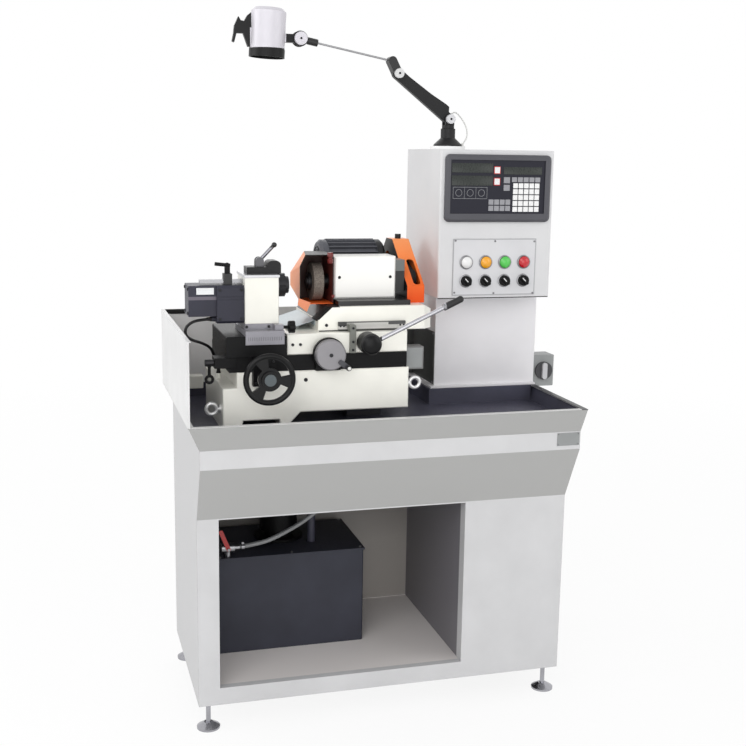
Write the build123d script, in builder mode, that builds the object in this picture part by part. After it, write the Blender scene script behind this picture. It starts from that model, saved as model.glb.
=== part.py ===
from build123d import *
import math
import os

# A small cylindrical grinder on a sheet-metal cabinet, in millimetres.
# +X runs to the operator's right, +Y to the back and +Z up.
# The origin is on the floor, under the middle of the whole machine.

# Shared fits
sheet = 2.5
liner_gap = 0.5
slide_gap = 0.3
run_gap = 0.05
screw_gap = 0.35

# Tray and cabinet
tray_width = 1000.0
tray_depth = 569.0
lip_width = 14.0
flare_bottom = 740.0
flare_height = 58.0
left_flare = 27.0
right_flare = 12.0
front_flare = 11.5
band_height = 46.0
apron_height = 143.0
apron_setback = 73.0
cabinet_bottom = 71.0
base_beam = 44.0
stile_width = 53.0
bay_width = 632.0
foot_pad = 64.0
foot_pad_thickness = 6.0
pan_depth = 43.0

# Levelling feet
foot_radius = 29.0
foot_rim = 5.0
foot_cone_height = 16.0
foot_stud_radius = 6.0
foot_nut_across = 19.0
foot_nut_height = 10.0
foot_nut_gap = 0.3
foot_inset_x = 27.0
foot_inset_y = 30.0

# Splash guard
guard_height = 200.0
guard_flange = 9.0
guard_return = 5.0

# Column, control box and what is on them
column_width = 292.0
column_depth = 205.0
column_back_gap = 20.0
column_height = 254.0
column_flange = 14.0
column_flange_thickness = 5.0
deck_margin = 6.0
box_left_overhang = 24.0
box_front_overhang = 78.0
box_height = 383.0
box_bend = 5.0
box_cable_hole = 120.0
lamp_pad_radius = 46.0
lamp_pad_height = 8.0
readout_width = 293.0
readout_height = 173.0
readout_depth = 14.0
readout_corner = 13.0
readout_bevel = 7.0
readout_left_inset = 12.0
readout_top_inset = 12.0
readout_rim = 14.0
readout_left_rim = 12.0
readout_right_rim = 19.0
readout_low_rim = 22.0
readout_recess = 3.0
key_size = 12.8
key_pitch = 15.2
key_height = 1.4
key_rows = 5
key_columns = 5
key_right_inset = 15.0
key_bottom_inset = 5.0
plate_width = 233.0
plate_height = 148.0
plate_thickness = 2.0
plate_left_inset = 40.0
plate_bottom_inset = 6.0
switch_count = 4
switch_pitch = 53.9
switch_first = 37.0
pilot_height = 87.0
selector_height = 38.0
pilot_radius = 15.3
pilot_collar = 5.0
pilot_crown = 7.0
selector_radius = 13.5
selector_depth = 11.0
selector_bar_length = 25.0
selector_bar_width = 9.0
selector_bar_depth = 7.0
selector_pin_radius = 5.0
selector_angle = 45.0

# Isolator on the column's right side
isolator_reach = 66.0
isolator_depth = 54.0
isolator_height = 88.0
isolator_front_inset = 8.0
isolator_drop = 10.0
isolator_corner = 5.0
isolator_knob_radius = 25.0
isolator_knob_depth = 14.0
isolator_bar_length = 46.0
isolator_pin_radius = 6.0

# Bed
bed_left_inset = 99.0
bed_front_inset = 124.5
bed_length = 466.0
bed_depth = 300.0
bed_step = 34.0
bed_foot_drop = 38.0
bed_foot_length = 151.0
bed_belly_drop = 103.0
bed_slope = 39.0
arch_start = 43.0
arch_length = 101.0
arch_height = 25.0
arch_slope = 6.0
bed_edge = 5.0
rear_foot_length = 90.0
rear_foot_depth = 150.0
rear_foot_inset = 40.0
oil_plug_radius = 5.0
oil_plug_depth = 6.0
oil_plug_inset = 45.0
oil_plug_drop = 23.0
eye_radius = 13.0
eye_bar_radius = 4.6
eye_shank = 9.0
eye_shoulder_radius = 10.0
eye_shoulder = 4.0
eye_front_inset = 20.0
eye_right_drop = 44.0
eye_left_rise = 50.0

# Way base, with a T-slot along Y for the table and one for the saddle
way_height = 38.0
way_front_inset = 5.0
way_depth = 285.0
way_left_inset = 16.0
way_right_inset = 5.0
t_neck = 36.0
t_foot = 56.0
t_neck_depth = 12.0
t_foot_depth = 21.0
slot_front_wall = 40.0
clamp_arm_length = 51.0
clamp_arm_height = 25.0
clamp_arm_depth = 46.0
clamp_arm_overlap = 16.0
clamp_arm_forward = 5.0
clamp_arm_drop = 1.0
end_box_inset = 27.0
end_box_length = 48.0
end_box_depth = 40.0
end_box_rise = 7.0
end_box_drop = 12.0

# Work table and feed
table_width = 147.0
table_height = 50.0
table_depth = 230.0
table_overhang = 5.0
table_left_inset = 8.0
table_edge = 1.5
feed_offset = 98.0
feed_height = 141.0
feed_bed_cover = 3.0
feed_travel = 30.0
feed_lug_length = 100.0
feed_lug_drop = 18.0
feed_trench = 60.0
feed_trench_drop = 30.0
feed_wall = 25.0
feed_shaft_radius = 8.0
feed_screw_radius = 7.0
feed_bracket = 20.0
feed_bracket_width = 56.0
feed_collar_radius = 17.0
feed_collar = 14.0
thrust_collar = 6.0
thrust_collar_radius = 11.0
screw_hole = 12.0
screw_run_out = 10.0
handwheel_radius = 62.5
handwheel_rim_width = 13.0
handwheel_web = 9.0
handwheel_spokes = 3
handwheel_opening_angle = 53.0
handwheel_opening_width = 84.0
handwheel_opening_inner = 28.0
handwheel_hub_radius = 20.0
handwheel_hub_reach = 11.0
handwheel_cap = 3.0
handwheel_cap_radius = 14.0
handwheel_reach = 80.0

# Table clamp lever
clamp_pin_radius = 5.0
clamp_boss_radius = 8.0
clamp_lever_length = 33.0
clamp_ring_radius = 7.5
clamp_ring_bar = 2.6
clamp_lever_thickness = 21.0
clamp_pin_length = 18.0

# Workhead
swivel_height = 26.0
swivel_lower = 13.0
swivel_width = 94.0
swivel_top_width = 84.0
swivel_top_forward = 5.0
swivel_boss = 16.0
swivel_scale_drop = 20.0
swivel_scale_thickness = 5.0
head_left_inset = 52.0
head_width = 82.0
head_depth = 112.0
head_height = 117.0
head_back_step = 35.0
head_lid = 6.0
head_lid_reach = 2.0
head_blind = 12.0
axis_height = 113.0
work_axis_back = 56.0
work_shaft_radius = 17.0
work_bore_radius = 8.0
chuck_radius = 29.0
chuck_length = 17.0
chuck_nose_radius = 21.0
chuck_nose_length = 9.0
chuck_collar_radius = 26.0
chuck_collar = 5.0
chuck_wall_gap = 2.0
chuck_slots = 3
chuck_slot_width = 3.0
chuck_flats = 6
work_motor_length = 67.0
work_motor_size = 74.0
work_flange_length = 66.0
work_flange_size = 91.0
work_motor_corner = 6.0
work_motor_groove = 8.0
work_motor_groove_depth = 1.5
work_motor_drop = 34.0
cable_gland = 10.0
cable_gland_radius = 6.0
swivel_knob_radius = 15.0
swivel_knob_length = 15.0
swivel_knob_stem = 14.0
swivel_knob_stem_radius = 4.0
swivel_knob_lobes = 5
swivel_knob_notch = 5.0
swivel_knob_back = 20.0
swivel_knob_drop = 7.0

# Collet closer and its ball lever, on the workhead's lid
closer_inset = 10.0
closer_length = 84.0
closer_depth = 46.0
closer_bar = 16.0
closer_tower = 31.0
closer_tower_length = 34.0
closer_round = 12.0
closer_ear_gap = 12.0
closer_ear = 6.0
closer_ear_radius = 10.0
closer_ear_from_left = 34.0
closer_pivot_height = 29.0
closer_pin_radius = 4.0
closer_lever_radius = 4.5
closer_lever_reach = 54.0
closer_lever_angle = 46.0
closer_lever_boss = 9.0
closer_ball_radius = 6.5

# Toggle clamp on a bar behind the work motor's top
toggle_forward = 12.0
toggle_bar_rise = 4.0
toggle_bar_height = 9.0
toggle_bar_depth = 14.0
toggle_bar_length = 104.0
toggle_block_length = 20.0
toggle_block_depth = 26.0
toggle_block_height = 27.0
toggle_block_left = 26.0
toggle_ear_gap = 8.0
toggle_pin_radius = 3.0
toggle_arm_width = 7.0
toggle_arm_rise = 26.0
toggle_grip_length = 30.0
toggle_grip_radius = 4.5
toggle_grip_drop = 4.0

# Saddle, cross screw and graduated dial
saddle_left_inset = 158.0
saddle_length = 305.0
saddle_height = 51.0
saddle_front_inset = 10.0
saddle_depth = 280.0
saddle_travel = 15.0
saddle_lug_length = 70.0
t_lug_depth = 18.0
saddle_lug_back = 110.0
saddle_channel = 24.0
saddle_channel_height = 18.0
cross_offset = 257.0
cross_above_way = 4.0
cross_screw_radius = 7.0
cross_bracket_width = 62.0
flange_clear = 3.0
cross_flange_radius = 40.0
cross_flange = 10.0
dial_radius = 37.5
dial_depth = 20.0
dial_taper = 3.0
dial_seat = 12.0
dial_gap = 0.3
dial_hole_radius = 5.0
dial_hole_depth = 6.0
crank_reach = 50.0
crank_start = 30.0
crank_angle = -37.0
crank_width = 13.0
crank_depth = 7.0
crank_ball_radius = 7.0
crank_stem_radius = 3.5
crank_stem = 8.0

# Traverse lever with its pinion, and the rack under the slide
lever_offset = 358.0
lever_drop = 24.0
lever_hub_radius = 26.5
lever_hub_depth = 44.0
lever_rod_inset = 10.0
lever_hub_gap = 4.0
lever_shaft_radius = 9.0
lever_angle = 24.8
lever_length = 252.0
lever_rod_radius = 5.5
lever_grip_length = 42.0
lever_grip_radius = 8.5
gear_module = 2.0
pinion_teeth = 20
gear_backlash = 0.35
gear_addendum = 1.8
gear_dedendum = 2.4
pressure_angle = 20.0
pinion_width = 22.0
pinion_side_gap = 4.0
pinion_end_gap = 2.0
lever_tail = 15.0
rack_back = 50.0
rack_width = 24.0
rack_side_gap = 2.0
rack_teeth = 25
rack_trench = 8.0
slot_end_gap = 5.0
slide_stroke = 20.0

# Reader bracket and linear scale
reader_offset = 314.0
reader_width = 15.0
reader_thickness = 8.0
reader_height = 68.0
reader_gap = 1.5
reader_head_height = 16.0
scale_left = 292.0
scale_length = 173.0
scale_height = 20.0
scale_thickness = 8.0
scale_above_slide = 3.0
scale_groove = 6.0
scale_groove_depth = 2.0

# Wheel slide
slide_left_inset = 242.0
slide_length = 299.0
slide_front_inset = 40.0
slide_depth = 255.0
slide_nose = 35.0
slide_nose_rise = 28.0
slide_tail = 24.0
slide_lug_length = 120.0
slide_lug_from_left = 90.0
slide_lug_back = 140.0

# Wheelhead, wheel spindle and grinding wheel
head_plate_height = 12.0
wheelhead_axis_rise = 40.0
head_plate_front = 15.0
bearing_cap = 26.0
bearing_cap_drop = 24.0
bearing_cap_rise = 56.0
bearing_cap_inset = 8.0
head_screw_inset = 14.0
head_screw_depth = 4.0
head_screw_radius = 4.0
wheelhead_left = 297.0
wheelhead_length = 161.0
wheelhead_height = 106.0
wheelhead_front = 62.0
wheelhead_depth = 78.0
wheelhead_edge = 4.0
wheel_axis_back = 155.0
spindle_radius = 14.0
spindle_tip = 3.0
spindle_collar = 6.0
spindle_collar_radius = 19.0
wheel_radius = 47.5
wheel_width = 25.0
wheel_bore_gap = 0.1
wheel_from_head = 24.0
wheel_hub_radius = 21.0
wheel_hub_flange = 6.0
spindle_nut = 9.0
spindle_pulley_radius = 24.0
pulley_width = 24.0
pulley_flange = 2.0
pulley_flange_height = 3.0
pulley_from_head = 40.0
pulley_hub_radius = 18.0

# Wheel guard
hood_width = 86.0
hood_wall = 2.0
hood_boss = 3.5
hood_boss_radius = 30.0
hood_forward = 7.0
hood_back_gap = 6.5
hood_lift = 1.0
hood_height = 123.0
hood_front_corner = (14.0, 28.0)
hood_front_low = (6.0, 8.0)
hood_rear_corner = (36.0, 54.0)
hood_rear_low = (30.0, 36.0)
hood_flap = ((-3.0, 16.0), (28.0, 4.0), (18.0, -19.0), (-5.0, -1.0))

# Wheel motor
motor_left = 292.0
motor_body_length = 130.0
motor_radius = 52.0
motor_fin_height = 8.0
motor_fin_width = 3.0
motor_fins = 24
motor_bell = 22.0
motor_bell_radius = 58.0
motor_back = 115.0
motor_rise = 39.0
motor_foot_width = 44.0
motor_foot_inset = 16.0
motor_shaft_depth = 20.0
motor_shaft_radius = 9.0
motor_pulley_radius = 30.0
belt_thickness = 4.0
belt_width = 18.0
belt_gap = 0.3

# Belt cover
cover_gap = 28.0
cover_width = 46.0
cover_wall = 2.5
cover_front_reach = 64.0
cover_kink = -9.0
cover_crest = 61.0
cover_crest_front = 38.0
cover_crest_back = 15.0
cover_back_reach = 50.0
cover_back_rise = 26.0
cover_back_drop = 54.0
cover_opening = 28.0
cover_slot_length = 96.0
cover_slot_up = 53.0
cover_slot_width = 19.0
cover_slot_right = 6.0
cover_knob_radius = 8.0
cover_knob_height = 12.0

# Coolant set
tank_left_inset = 25.0
tank_length = 395.0
tank_depth = 258.0
tank_height = 258.0
tank_front_inset = 200.0
tank_wall = 2.5
tank_lid = 5.0
tank_corner = 6.0
pump_motor_radius = 52.0
pump_motor_height = 105.0
pump_flange_radius = 66.0
pump_flange = 8.0
pump_neck_radius = 40.0
pump_neck = 18.0
pump_tube_radius = 30.0
pump_tube_length = 190.0
pump_across = 190.0
pump_back = 150.0
return_pipe_radius = 11.0
return_pipe_wall = 2.0
return_pipe_across = 345.0
return_pipe_back = 90.0
return_pipe_dip = 30.0
valve_across = 29.0
valve_back = 14.0
valve_radius = 13.0
valve_length = 34.0
valve_rise = 24.0
valve_neck_radius = 9.0
valve_stem_radius = 4.0
valve_stem = 8.0
valve_lever_length = 52.0
valve_lever_width = 11.0
valve_lever_thickness = 4.0
valve_lever_angle = 112.0
hose_radius = 6.0
hose_spout_radius = 8.0
hose_socket = 16.0
hose_socket_radius = 9.5
hose_socket_gap = 0.3
hose_across = 450.0
hose_back = 80.0
valve_spout = 14.0
motor_cable_radius = 3.5
bed_gland = 14.0
bed_gland_radius = 6.0
bed_gland_inset = 10.0
bed_gland_back = 138.0

# Work lamp
lamp_base_radius = 37.0
lamp_base_rim = 4.0
lamp_base_height = 45.0
lamp_collar = 24.0
lamp_collar_radius = 19.0
lamp_from_left = 45.0
lamp_from_front = 78.0
lamp_turret_pin_radius = 8.0
lamp_turret_pin = 18.0
lamp_turret_disc_radius = 16.0
lamp_turret_disc = 9.0
lamp_ear_gap = 17.0
lamp_ear = 6.0
lamp_ear_radius = 12.0
lamp_pivot_rise = 15.0
lamp_pivot_pin = 4.5
lamp_knob_radius = 12.0
lamp_knob = 10.0
lamp_arm_length = 180.0
lamp_arm_angle = 142.0
lamp_arm_width = 27.0
lamp_arm_thickness = 16.0
lamp_arm_hump = 15.0
lamp_elbow_radius = 11.0
lamp_elbow_lift = 31.0
lamp_elbow_back = 16.0
lamp_elbow_clear = 0.5
lamp_rod_radius = 2.6
lamp_rod_reach = 240.0
lamp_rod_rise = 44.5
lamp_socket_length = 26.0
lamp_socket_radius = 9.0
lamp_socket_gap = 20.5
lamp_tip_radius = 10.0
lamp_tip_thickness = 12.0
lamp_tip_gap = 0.5
lamp_tip_pin = 4.0
lamp_fork_length = 46.0
lamp_fork_plate = 4.0
lamp_fork_room = 15.0
lamp_knuckle_radius = 19.0
lamp_head_knob_radius = 16.0
lamp_head_reach = 82.5
lamp_head_radius = 43.5
lamp_head_height = 97.5
lamp_head_below = 28.0
lamp_head_wall = 2.0
lamp_head_crown = 8.0
lamp_head_tilt = 3.0
lamp_ring_height = 20.0
lamp_lens = 5.0
lamp_lens_up = 12.0
lamp_handle_depth = 14.0
lamp_handle_root = ((4.0, 4.0), (6.0, 88.0))
lamp_handle_upper = ((-6.0, 78.0), (-14.0, 64.0), (-22.5, 65.5), (-28.0, 74.5), (-38.0, 53.0))
lamp_handle_lower = ((-40.0, 35.0), (-44.0, 15.5), (-39.0, 13.0), (-33.0, 35.0), (-16.5, 35.0), (-5.0, 4.0))
lamp_vents = 6
lamp_vent_radius = 3.0
lamp_cord_radius = 1.8

# Datum planes of the stand, worked out from the sizes above
tray_left = -(tray_width + isolator_reach) / 2
tray_right = tray_left + tray_width
tray_front = -tray_depth / 2
tray_back = tray_depth / 2
cabinet_left = tray_left + left_flare
cabinet_right = tray_right - right_flare
band_front = tray_front + front_flare
cabinet_front = band_front + apron_setback
cabinet_back = tray_back
bay_left = cabinet_left + stile_width
bay_right = bay_left + bay_width
bay_floor = cabinet_bottom + base_beam
tray_lip = flare_bottom + flare_height
band_bottom = flare_bottom - band_height
apron_bottom = band_bottom - apron_height
pan_floor = tray_lip - pan_depth

# Datum planes of the column
column_right = tray_right
column_left = column_right - column_width
column_back = tray_back - column_back_gap
column_front = column_back - column_depth
column_base = tray_lip
box_left = column_left - box_left_overhang
box_front = column_front - box_front_overhang
box_bottom = column_base + column_height
box_top = box_bottom + box_height
deck_left = column_left - column_flange - deck_margin
deck_front = column_front - column_flange - deck_margin

# Datum planes of the machine
bed_left = tray_left + bed_left_inset
bed_right = bed_left + bed_length
bed_front = tray_front + bed_front_inset
bed_back = bed_front + bed_depth
feed_z = pan_floor + feed_height
bed_top = feed_z + feed_bed_cover
bed_foot_top = bed_top - bed_foot_drop
bed_belly = bed_top - bed_belly_drop
way_top = bed_top + way_height
way_front = bed_front + way_front_inset
way_back = way_front + way_depth
way_left = bed_left + way_left_inset
bed_gland_x = bed_left + bed_gland_inset
bed_gland_y = bed_front + bed_gland_back
way_right = bed_right - way_right_inset
table_left = bed_left + table_left_inset
table_right = table_left + table_width
table_front = bed_front - table_overhang
table_back = table_front + table_depth
table_top = way_top + table_height
axis_z = table_top + axis_height
feed_x = bed_left + feed_offset
handwheel_y = bed_front - handwheel_reach
saddle_left = bed_left + saddle_left_inset
saddle_right = saddle_left + saddle_length
saddle_front = bed_front + saddle_front_inset
saddle_back = saddle_front + saddle_depth
saddle_top = way_top + saddle_height
cross_x = bed_left + cross_offset
cross_z = way_top + cross_above_way
lever_x = bed_left + lever_offset
lever_z = saddle_top - lever_drop
slide_left = bed_left + slide_left_inset
slide_right = slide_left + slide_length
slide_front = bed_front + slide_front_inset
slide_back = slide_front + slide_depth
wheelhead_bottom = axis_z - wheelhead_axis_rise
slide_top = wheelhead_bottom - head_plate_height
slide_height = slide_top - saddle_top
wheel_y = bed_front + wheel_axis_back
head_left = table_left + head_left_inset
head_right = head_left + head_width
head_front = table_front + head_back_step
work_y = head_front + work_axis_back
head_bottom = table_top + swivel_height
head_top = head_bottom + head_height
wheelhead_x = bed_left + wheelhead_left
wheelhead_right = wheelhead_x + wheelhead_length
wheelhead_y = bed_front + wheelhead_front + slide_front_inset
wheelhead_back = wheelhead_y + wheelhead_depth
wheelhead_top = wheelhead_bottom + wheelhead_height
motor_x = bed_left + motor_left
motor_y = wheel_y + motor_back
motor_z = axis_z + motor_rise
pulley_left = wheelhead_right + pulley_from_head
pulley_right = pulley_left + pulley_width

BOTTOM = (Align.CENTER, Align.CENTER, Align.MIN)


def front_plane(y):
    """A sketch plane seen from the front, with X to the right and Z up."""
    return Plane.XZ.offset(-y)


def block(x, y, z, mode=Mode.ADD):
    """Adds a block between two limits along each axis to the part being built."""
    limits = (x, y, z)
    with Locations(tuple(sum(pair) / 2 for pair in limits)):
        Box(*[high - low for low, high in limits], mode=mode)


def rod(start, end, radius, mode=Mode.ADD):
    """Adds a round bar from one point to another."""
    run = Vector(*end) - Vector(*start)
    with BuildSketch(Plane(origin=start, z_dir=run)) as section:
        Circle(radius)
    extrude(section.sketch, amount=run.length, mode=mode)


def between(x, y):
    """Adds a rectangle between two limits along each axis to the sketch being drawn."""
    with Locations((sum(x) / 2, sum(y) / 2)):
        Rectangle(x[1] - x[0], y[1] - y[0])


def flare_limits(z, inset):
    """The limits along X and Y of the tray's sloping skirt at a height, drawn in by an inset."""
    rise = (z - flare_bottom) / (tray_lip - flare_bottom)
    left = cabinet_left + (tray_left - cabinet_left) * rise + inset
    right = cabinet_right + (tray_right - cabinet_right) * rise - inset
    front = band_front + (tray_front - band_front) * rise + inset
    return (left, right), (front, tray_back - inset)


def flared(low, high, inset, mode=Mode.ADD):
    """Adds a solid that follows the tray's skirt between two heights."""
    sections = []
    for z in (low, high):
        with BuildSketch(Plane.XY.offset(z)) as section:
            between(*flare_limits(z, inset))
        sections.append(section.sketch)
    loft(sections, mode=mode)


def keep(piece, label):
    """Names a finished piece and writes it."""
    piece.part.label = label
    export_step(piece.part, f"parts/{label}.step")


def cord_radii(points):
    """The largest arc that fits at each corner of a cord's route."""
    radii = []
    for before, corner, after in zip(points, points[1:], points[2:]):
        arriving = Vector(*corner) - Vector(*before)
        leaving = Vector(*after) - Vector(*corner)
        turn = math.radians(arriving.get_angle(leaving))
        radii.append(0.45 * min(arriving.length, leaving.length) / math.tan(turn / 2))
    return radii


def cord_tube(points, radius):
    """Adds a cord's tube along a route of straight runs joined by tangent arcs."""
    radii = cord_radii(points)
    print("cord radii", [round(value, 1) for value in radii], "diameter", 2 * radius)
    with BuildLine():
        path = FilletPolyline(*points, radius=radii)
    with BuildSketch(Plane(origin=path @ 0, z_dir=path % 0)) as section:
        Circle(radius)
    sweep(section.sketch, path=path)
    print("cord length", round(path.length, 1), "section", round(math.pi * radius**2, 1))


os.makedirs("parts", exist_ok=True)

# Cabinet: a folded sheet box with a closed right room and an open bay on the left
rooms = (
    (cabinet_left + sheet, bay_right, bay_floor),
    (bay_right + sheet, cabinet_right - sheet, cabinet_bottom),
)
with BuildPart() as cabinet:
    with BuildSketch(Plane.YZ.offset(cabinet_left)):
        with BuildLine():
            Polyline(
                (cabinet_front, cabinet_bottom),
                (cabinet_back, cabinet_bottom),
                (cabinet_back, flare_bottom),
                (band_front, flare_bottom),
                (band_front, band_bottom),
                (cabinet_front, apron_bottom),
                close=True,
            )
        make_face()
    extrude(amount=cabinet_right - cabinet_left)
    for room_left, room_right, room_floor in rooms:
        with BuildSketch(Plane.YZ.offset(room_left)):
            with BuildLine():
                Polyline(
                    (cabinet_front + sheet, room_floor),
                    (cabinet_back - sheet, room_floor),
                    (cabinet_back - sheet, flare_bottom),
                    (band_front + sheet, flare_bottom),
                    (band_front + sheet, band_bottom),
                    (cabinet_front + sheet, apron_bottom),
                    close=True,
                )
            make_face()
        extrude(amount=room_right - room_left, mode=Mode.SUBTRACT)
    block(
        (cabinet_left + sheet, bay_right),
        (cabinet_front + sheet, cabinet_back - sheet),
        (cabinet_bottom, bay_floor - sheet),
        mode=Mode.SUBTRACT,
    )
    block(
        (bay_left, bay_right),
        (cabinet_front, cabinet_front + sheet),
        (bay_floor, apron_bottom - sheet),
        mode=Mode.SUBTRACT,
    )
    for pad_left in (cabinet_left, cabinet_right - foot_pad):
        for pad_front in (cabinet_front, cabinet_back - foot_pad):
            block(
                (pad_left, pad_left + foot_pad),
                (pad_front, pad_front + foot_pad),
                (cabinet_bottom, cabinet_bottom + foot_pad_thickness),
            )
keep(cabinet, "cabinet")

# Levelling feet: a flared disc and stud, and a lock nut against the cabinet
foot_places = [
    (x, y)
    for x in (cabinet_left + foot_inset_x, cabinet_right - foot_inset_x)
    for y in (cabinet_front + foot_inset_y, cabinet_back - foot_inset_y)
]
with BuildPart() as levelling_feet:
    for foot_x, foot_y in foot_places:
        with BuildSketch(Plane(origin=(foot_x, foot_y, 0), x_dir=(1, 0, 0), z_dir=(0, -1, 0))):
            with BuildLine():
                Polyline(
                    (0, 0),
                    (foot_radius, 0),
                    (foot_radius, foot_rim),
                    (foot_stud_radius + foot_rim, foot_cone_height),
                    (foot_stud_radius, foot_cone_height),
                    (foot_stud_radius, cabinet_bottom),
                    (0, cabinet_bottom),
                    close=True,
                )
            make_face()
        revolve(axis=Axis((foot_x, foot_y, 0), (0, 0, 1)))
    with BuildSketch(Plane.XY.offset(cabinet_bottom - foot_nut_height)):
        with Locations(*foot_places):
            RegularPolygon(foot_nut_across / 2, 6, major_radius=False)
            Circle(foot_stud_radius + foot_nut_gap, mode=Mode.SUBTRACT)
    extrude(amount=foot_nut_height)
keep(levelling_feet, "levelling_feet")

# Tray: a flared skirt with a turned-in lip
with BuildPart() as tray:
    flared(flare_bottom, tray_lip, 0)
    flared(flare_bottom, tray_lip, sheet, mode=Mode.SUBTRACT)
    with BuildSketch(Plane.XY.offset(tray_lip - sheet)):
        between((tray_left, tray_right), (tray_front, tray_back))
        with Locations(((tray_left + tray_right) / 2, 0)):
            Rectangle(tray_width - 2 * lip_width, tray_depth - 2 * lip_width, mode=Mode.SUBTRACT)
    extrude(amount=sheet)
keep(tray, "tray")

# Drip pan: a liner inside the skirt, with a raised deck under the column and a drain pipe
drain_x = cabinet_left + sheet + return_pipe_across
hose_x = cabinet_left + sheet + hose_across
hose_y = cabinet_front + tank_front_inset + hose_back
drain_y = cabinet_front + tank_front_inset + return_pipe_back
tank_top = bay_floor + tank_height
deck_right = tray_right - lip_width - liner_gap
deck_back = tray_back - lip_width - liner_gap
with BuildPart() as drip_pan:
    flared(pan_floor - sheet, tray_lip - sheet, sheet + liner_gap)
    flared(pan_floor, tray_lip - sheet, 2 * sheet + liner_gap, mode=Mode.SUBTRACT)
    block((deck_left, deck_right), (deck_front, deck_back), (pan_floor - sheet, tray_lip))
    block(
        (deck_left + sheet, deck_right - sheet),
        (deck_front + sheet, deck_back - sheet),
        (pan_floor - sheet, tray_lip - sheet),
        mode=Mode.SUBTRACT,
    )
    rod((drain_x, drain_y, tank_top + tank_lid - return_pipe_dip), (drain_x, drain_y, pan_floor), return_pipe_radius)
    rod(
        (drain_x, drain_y, tank_top + tank_lid - return_pipe_dip),
        (drain_x, drain_y, pan_floor),
        return_pipe_radius - return_pipe_wall,
        mode=Mode.SUBTRACT,
    )
    rod((hose_x, hose_y, pan_floor - sheet - hose_socket), (hose_x, hose_y, pan_floor - sheet), hose_socket_radius)
    rod(
        (hose_x, hose_y, pan_floor - sheet - hose_socket),
        (hose_x, hose_y, pan_floor - sheet),
        hose_radius + hose_socket_gap,
        mode=Mode.SUBTRACT,
    )
keep(drip_pan, "drip_pan")

# Splash guard: left and rear panels folded from one sheet, flanged along the top and the front
guard_top = tray_lip + guard_height
with BuildPart() as splash_guard:
    block((tray_left, tray_left + sheet), (tray_front, tray_back), (tray_lip, guard_top))
    block((tray_left, column_left - column_flange - deck_margin), (tray_back - sheet, tray_back), (tray_lip, guard_top))
    block((tray_left, tray_left + guard_flange), (tray_front, tray_back), (guard_top - sheet, guard_top))
    block((tray_left, tray_left + guard_return), (tray_front, tray_front + sheet), (tray_lip, guard_top))
keep(splash_guard, "splash_guard")

# Column: a folded box on a foot flange, open below
with BuildPart() as column:
    block((column_left, column_right), (column_front, column_back), (column_base, box_bottom))
    block(
        (column_left - column_flange, column_right),
        (column_front - column_flange, column_back + column_flange),
        (column_base, column_base + column_flange_thickness),
    )
    block(
        (column_left + sheet, column_right - sheet),
        (column_front + sheet, column_back - sheet),
        (column_base, box_bottom),
        mode=Mode.SUBTRACT,
    )
    fillet(column.edges().filter_by(Axis.Z).group_by(SortBy.LENGTH)[-1].sort_by(Axis.Y)[:2], box_bend)
keep(column, "column")

# Control box: a hollow enclosure that overhangs the column to the front and the left
lamp_x = box_left + lamp_from_left
lamp_y = box_front + lamp_from_front
lamp_floor = box_top + lamp_pad_height
cable_hole = ((column_left + column_right) / 2, (column_front + column_back) / 2)
with BuildPart() as control_box:
    block((box_left, column_right), (box_front, column_back), (box_bottom, box_top))
    fillet(control_box.edges().filter_by(Axis.Z), box_bend)
    block(
        (box_left + sheet, column_right - sheet),
        (box_front + sheet, column_back - sheet),
        (box_bottom + sheet, box_top - sheet),
        mode=Mode.SUBTRACT,
    )
    with Locations((*cable_hole, box_bottom)):
        Box(box_cable_hole, box_cable_hole, sheet, align=BOTTOM, mode=Mode.SUBTRACT)
    with Locations((lamp_x, lamp_y, box_top)):
        Cylinder(lamp_pad_radius, lamp_pad_height, align=BOTTOM)
keep(control_box, "control_box")

# Readout console: a bevelled case with a sunk panel and a key field
readout_left = box_left + readout_left_inset
readout_top = box_top - readout_top_inset
readout_x = readout_left + readout_width / 2
readout_z = readout_top - readout_height / 2
readout_front = box_front - readout_depth
panel_y = readout_front + readout_recess
panel_left = readout_left + readout_left_rim
panel_right = readout_left + readout_width - readout_right_rim
panel_low = readout_top - readout_height + readout_low_rim
keys_right = panel_right - key_right_inset
keys_low = panel_low + key_bottom_inset
with BuildPart() as readout_console:
    with BuildSketch(front_plane(box_front)):
        with Locations((readout_x, readout_z)):
            RectangleRounded(readout_width, readout_height, readout_corner)
    extrude(amount=readout_depth)
    chamfer(readout_console.faces().sort_by(Axis.Y)[0].edges(), readout_bevel)
    with BuildSketch(front_plane(panel_y)):
        between((panel_left, panel_right), (panel_low, readout_top - readout_rim))
    extrude(amount=readout_recess, mode=Mode.SUBTRACT)
    with BuildSketch(front_plane(panel_y)):
        with Locations(
            (
                keys_right - (key_columns * key_pitch - key_pitch + key_size) / 2,
                keys_low + (key_rows * key_pitch - key_pitch + key_size) / 2,
            )
        ):
            with GridLocations(key_pitch, key_pitch, key_columns, key_rows):
                Rectangle(key_size, key_size)
    extrude(amount=key_height)
keep(readout_console, "readout_console")

# Control plate with bushes for the selectors, the pilot lights and the selector knobs
plate_left = box_left + plate_left_inset
plate_low = box_bottom + plate_bottom_inset
plate_front = box_front - plate_thickness
switch_xs = [plate_left + switch_first + switch_pitch * index for index in range(switch_count)]
pilot_z = plate_low + pilot_height
selector_z = plate_low + selector_height
with BuildPart() as control_plate:
    with BuildSketch(front_plane(box_front)):
        between((plate_left, plate_left + plate_width), (plate_low, plate_low + plate_height))
        with Locations(*[(x, selector_z) for x in switch_xs]):
            Circle(selector_pin_radius + run_gap, mode=Mode.SUBTRACT)
    extrude(amount=plate_thickness)
keep(control_plate, "control_plate")

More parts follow.
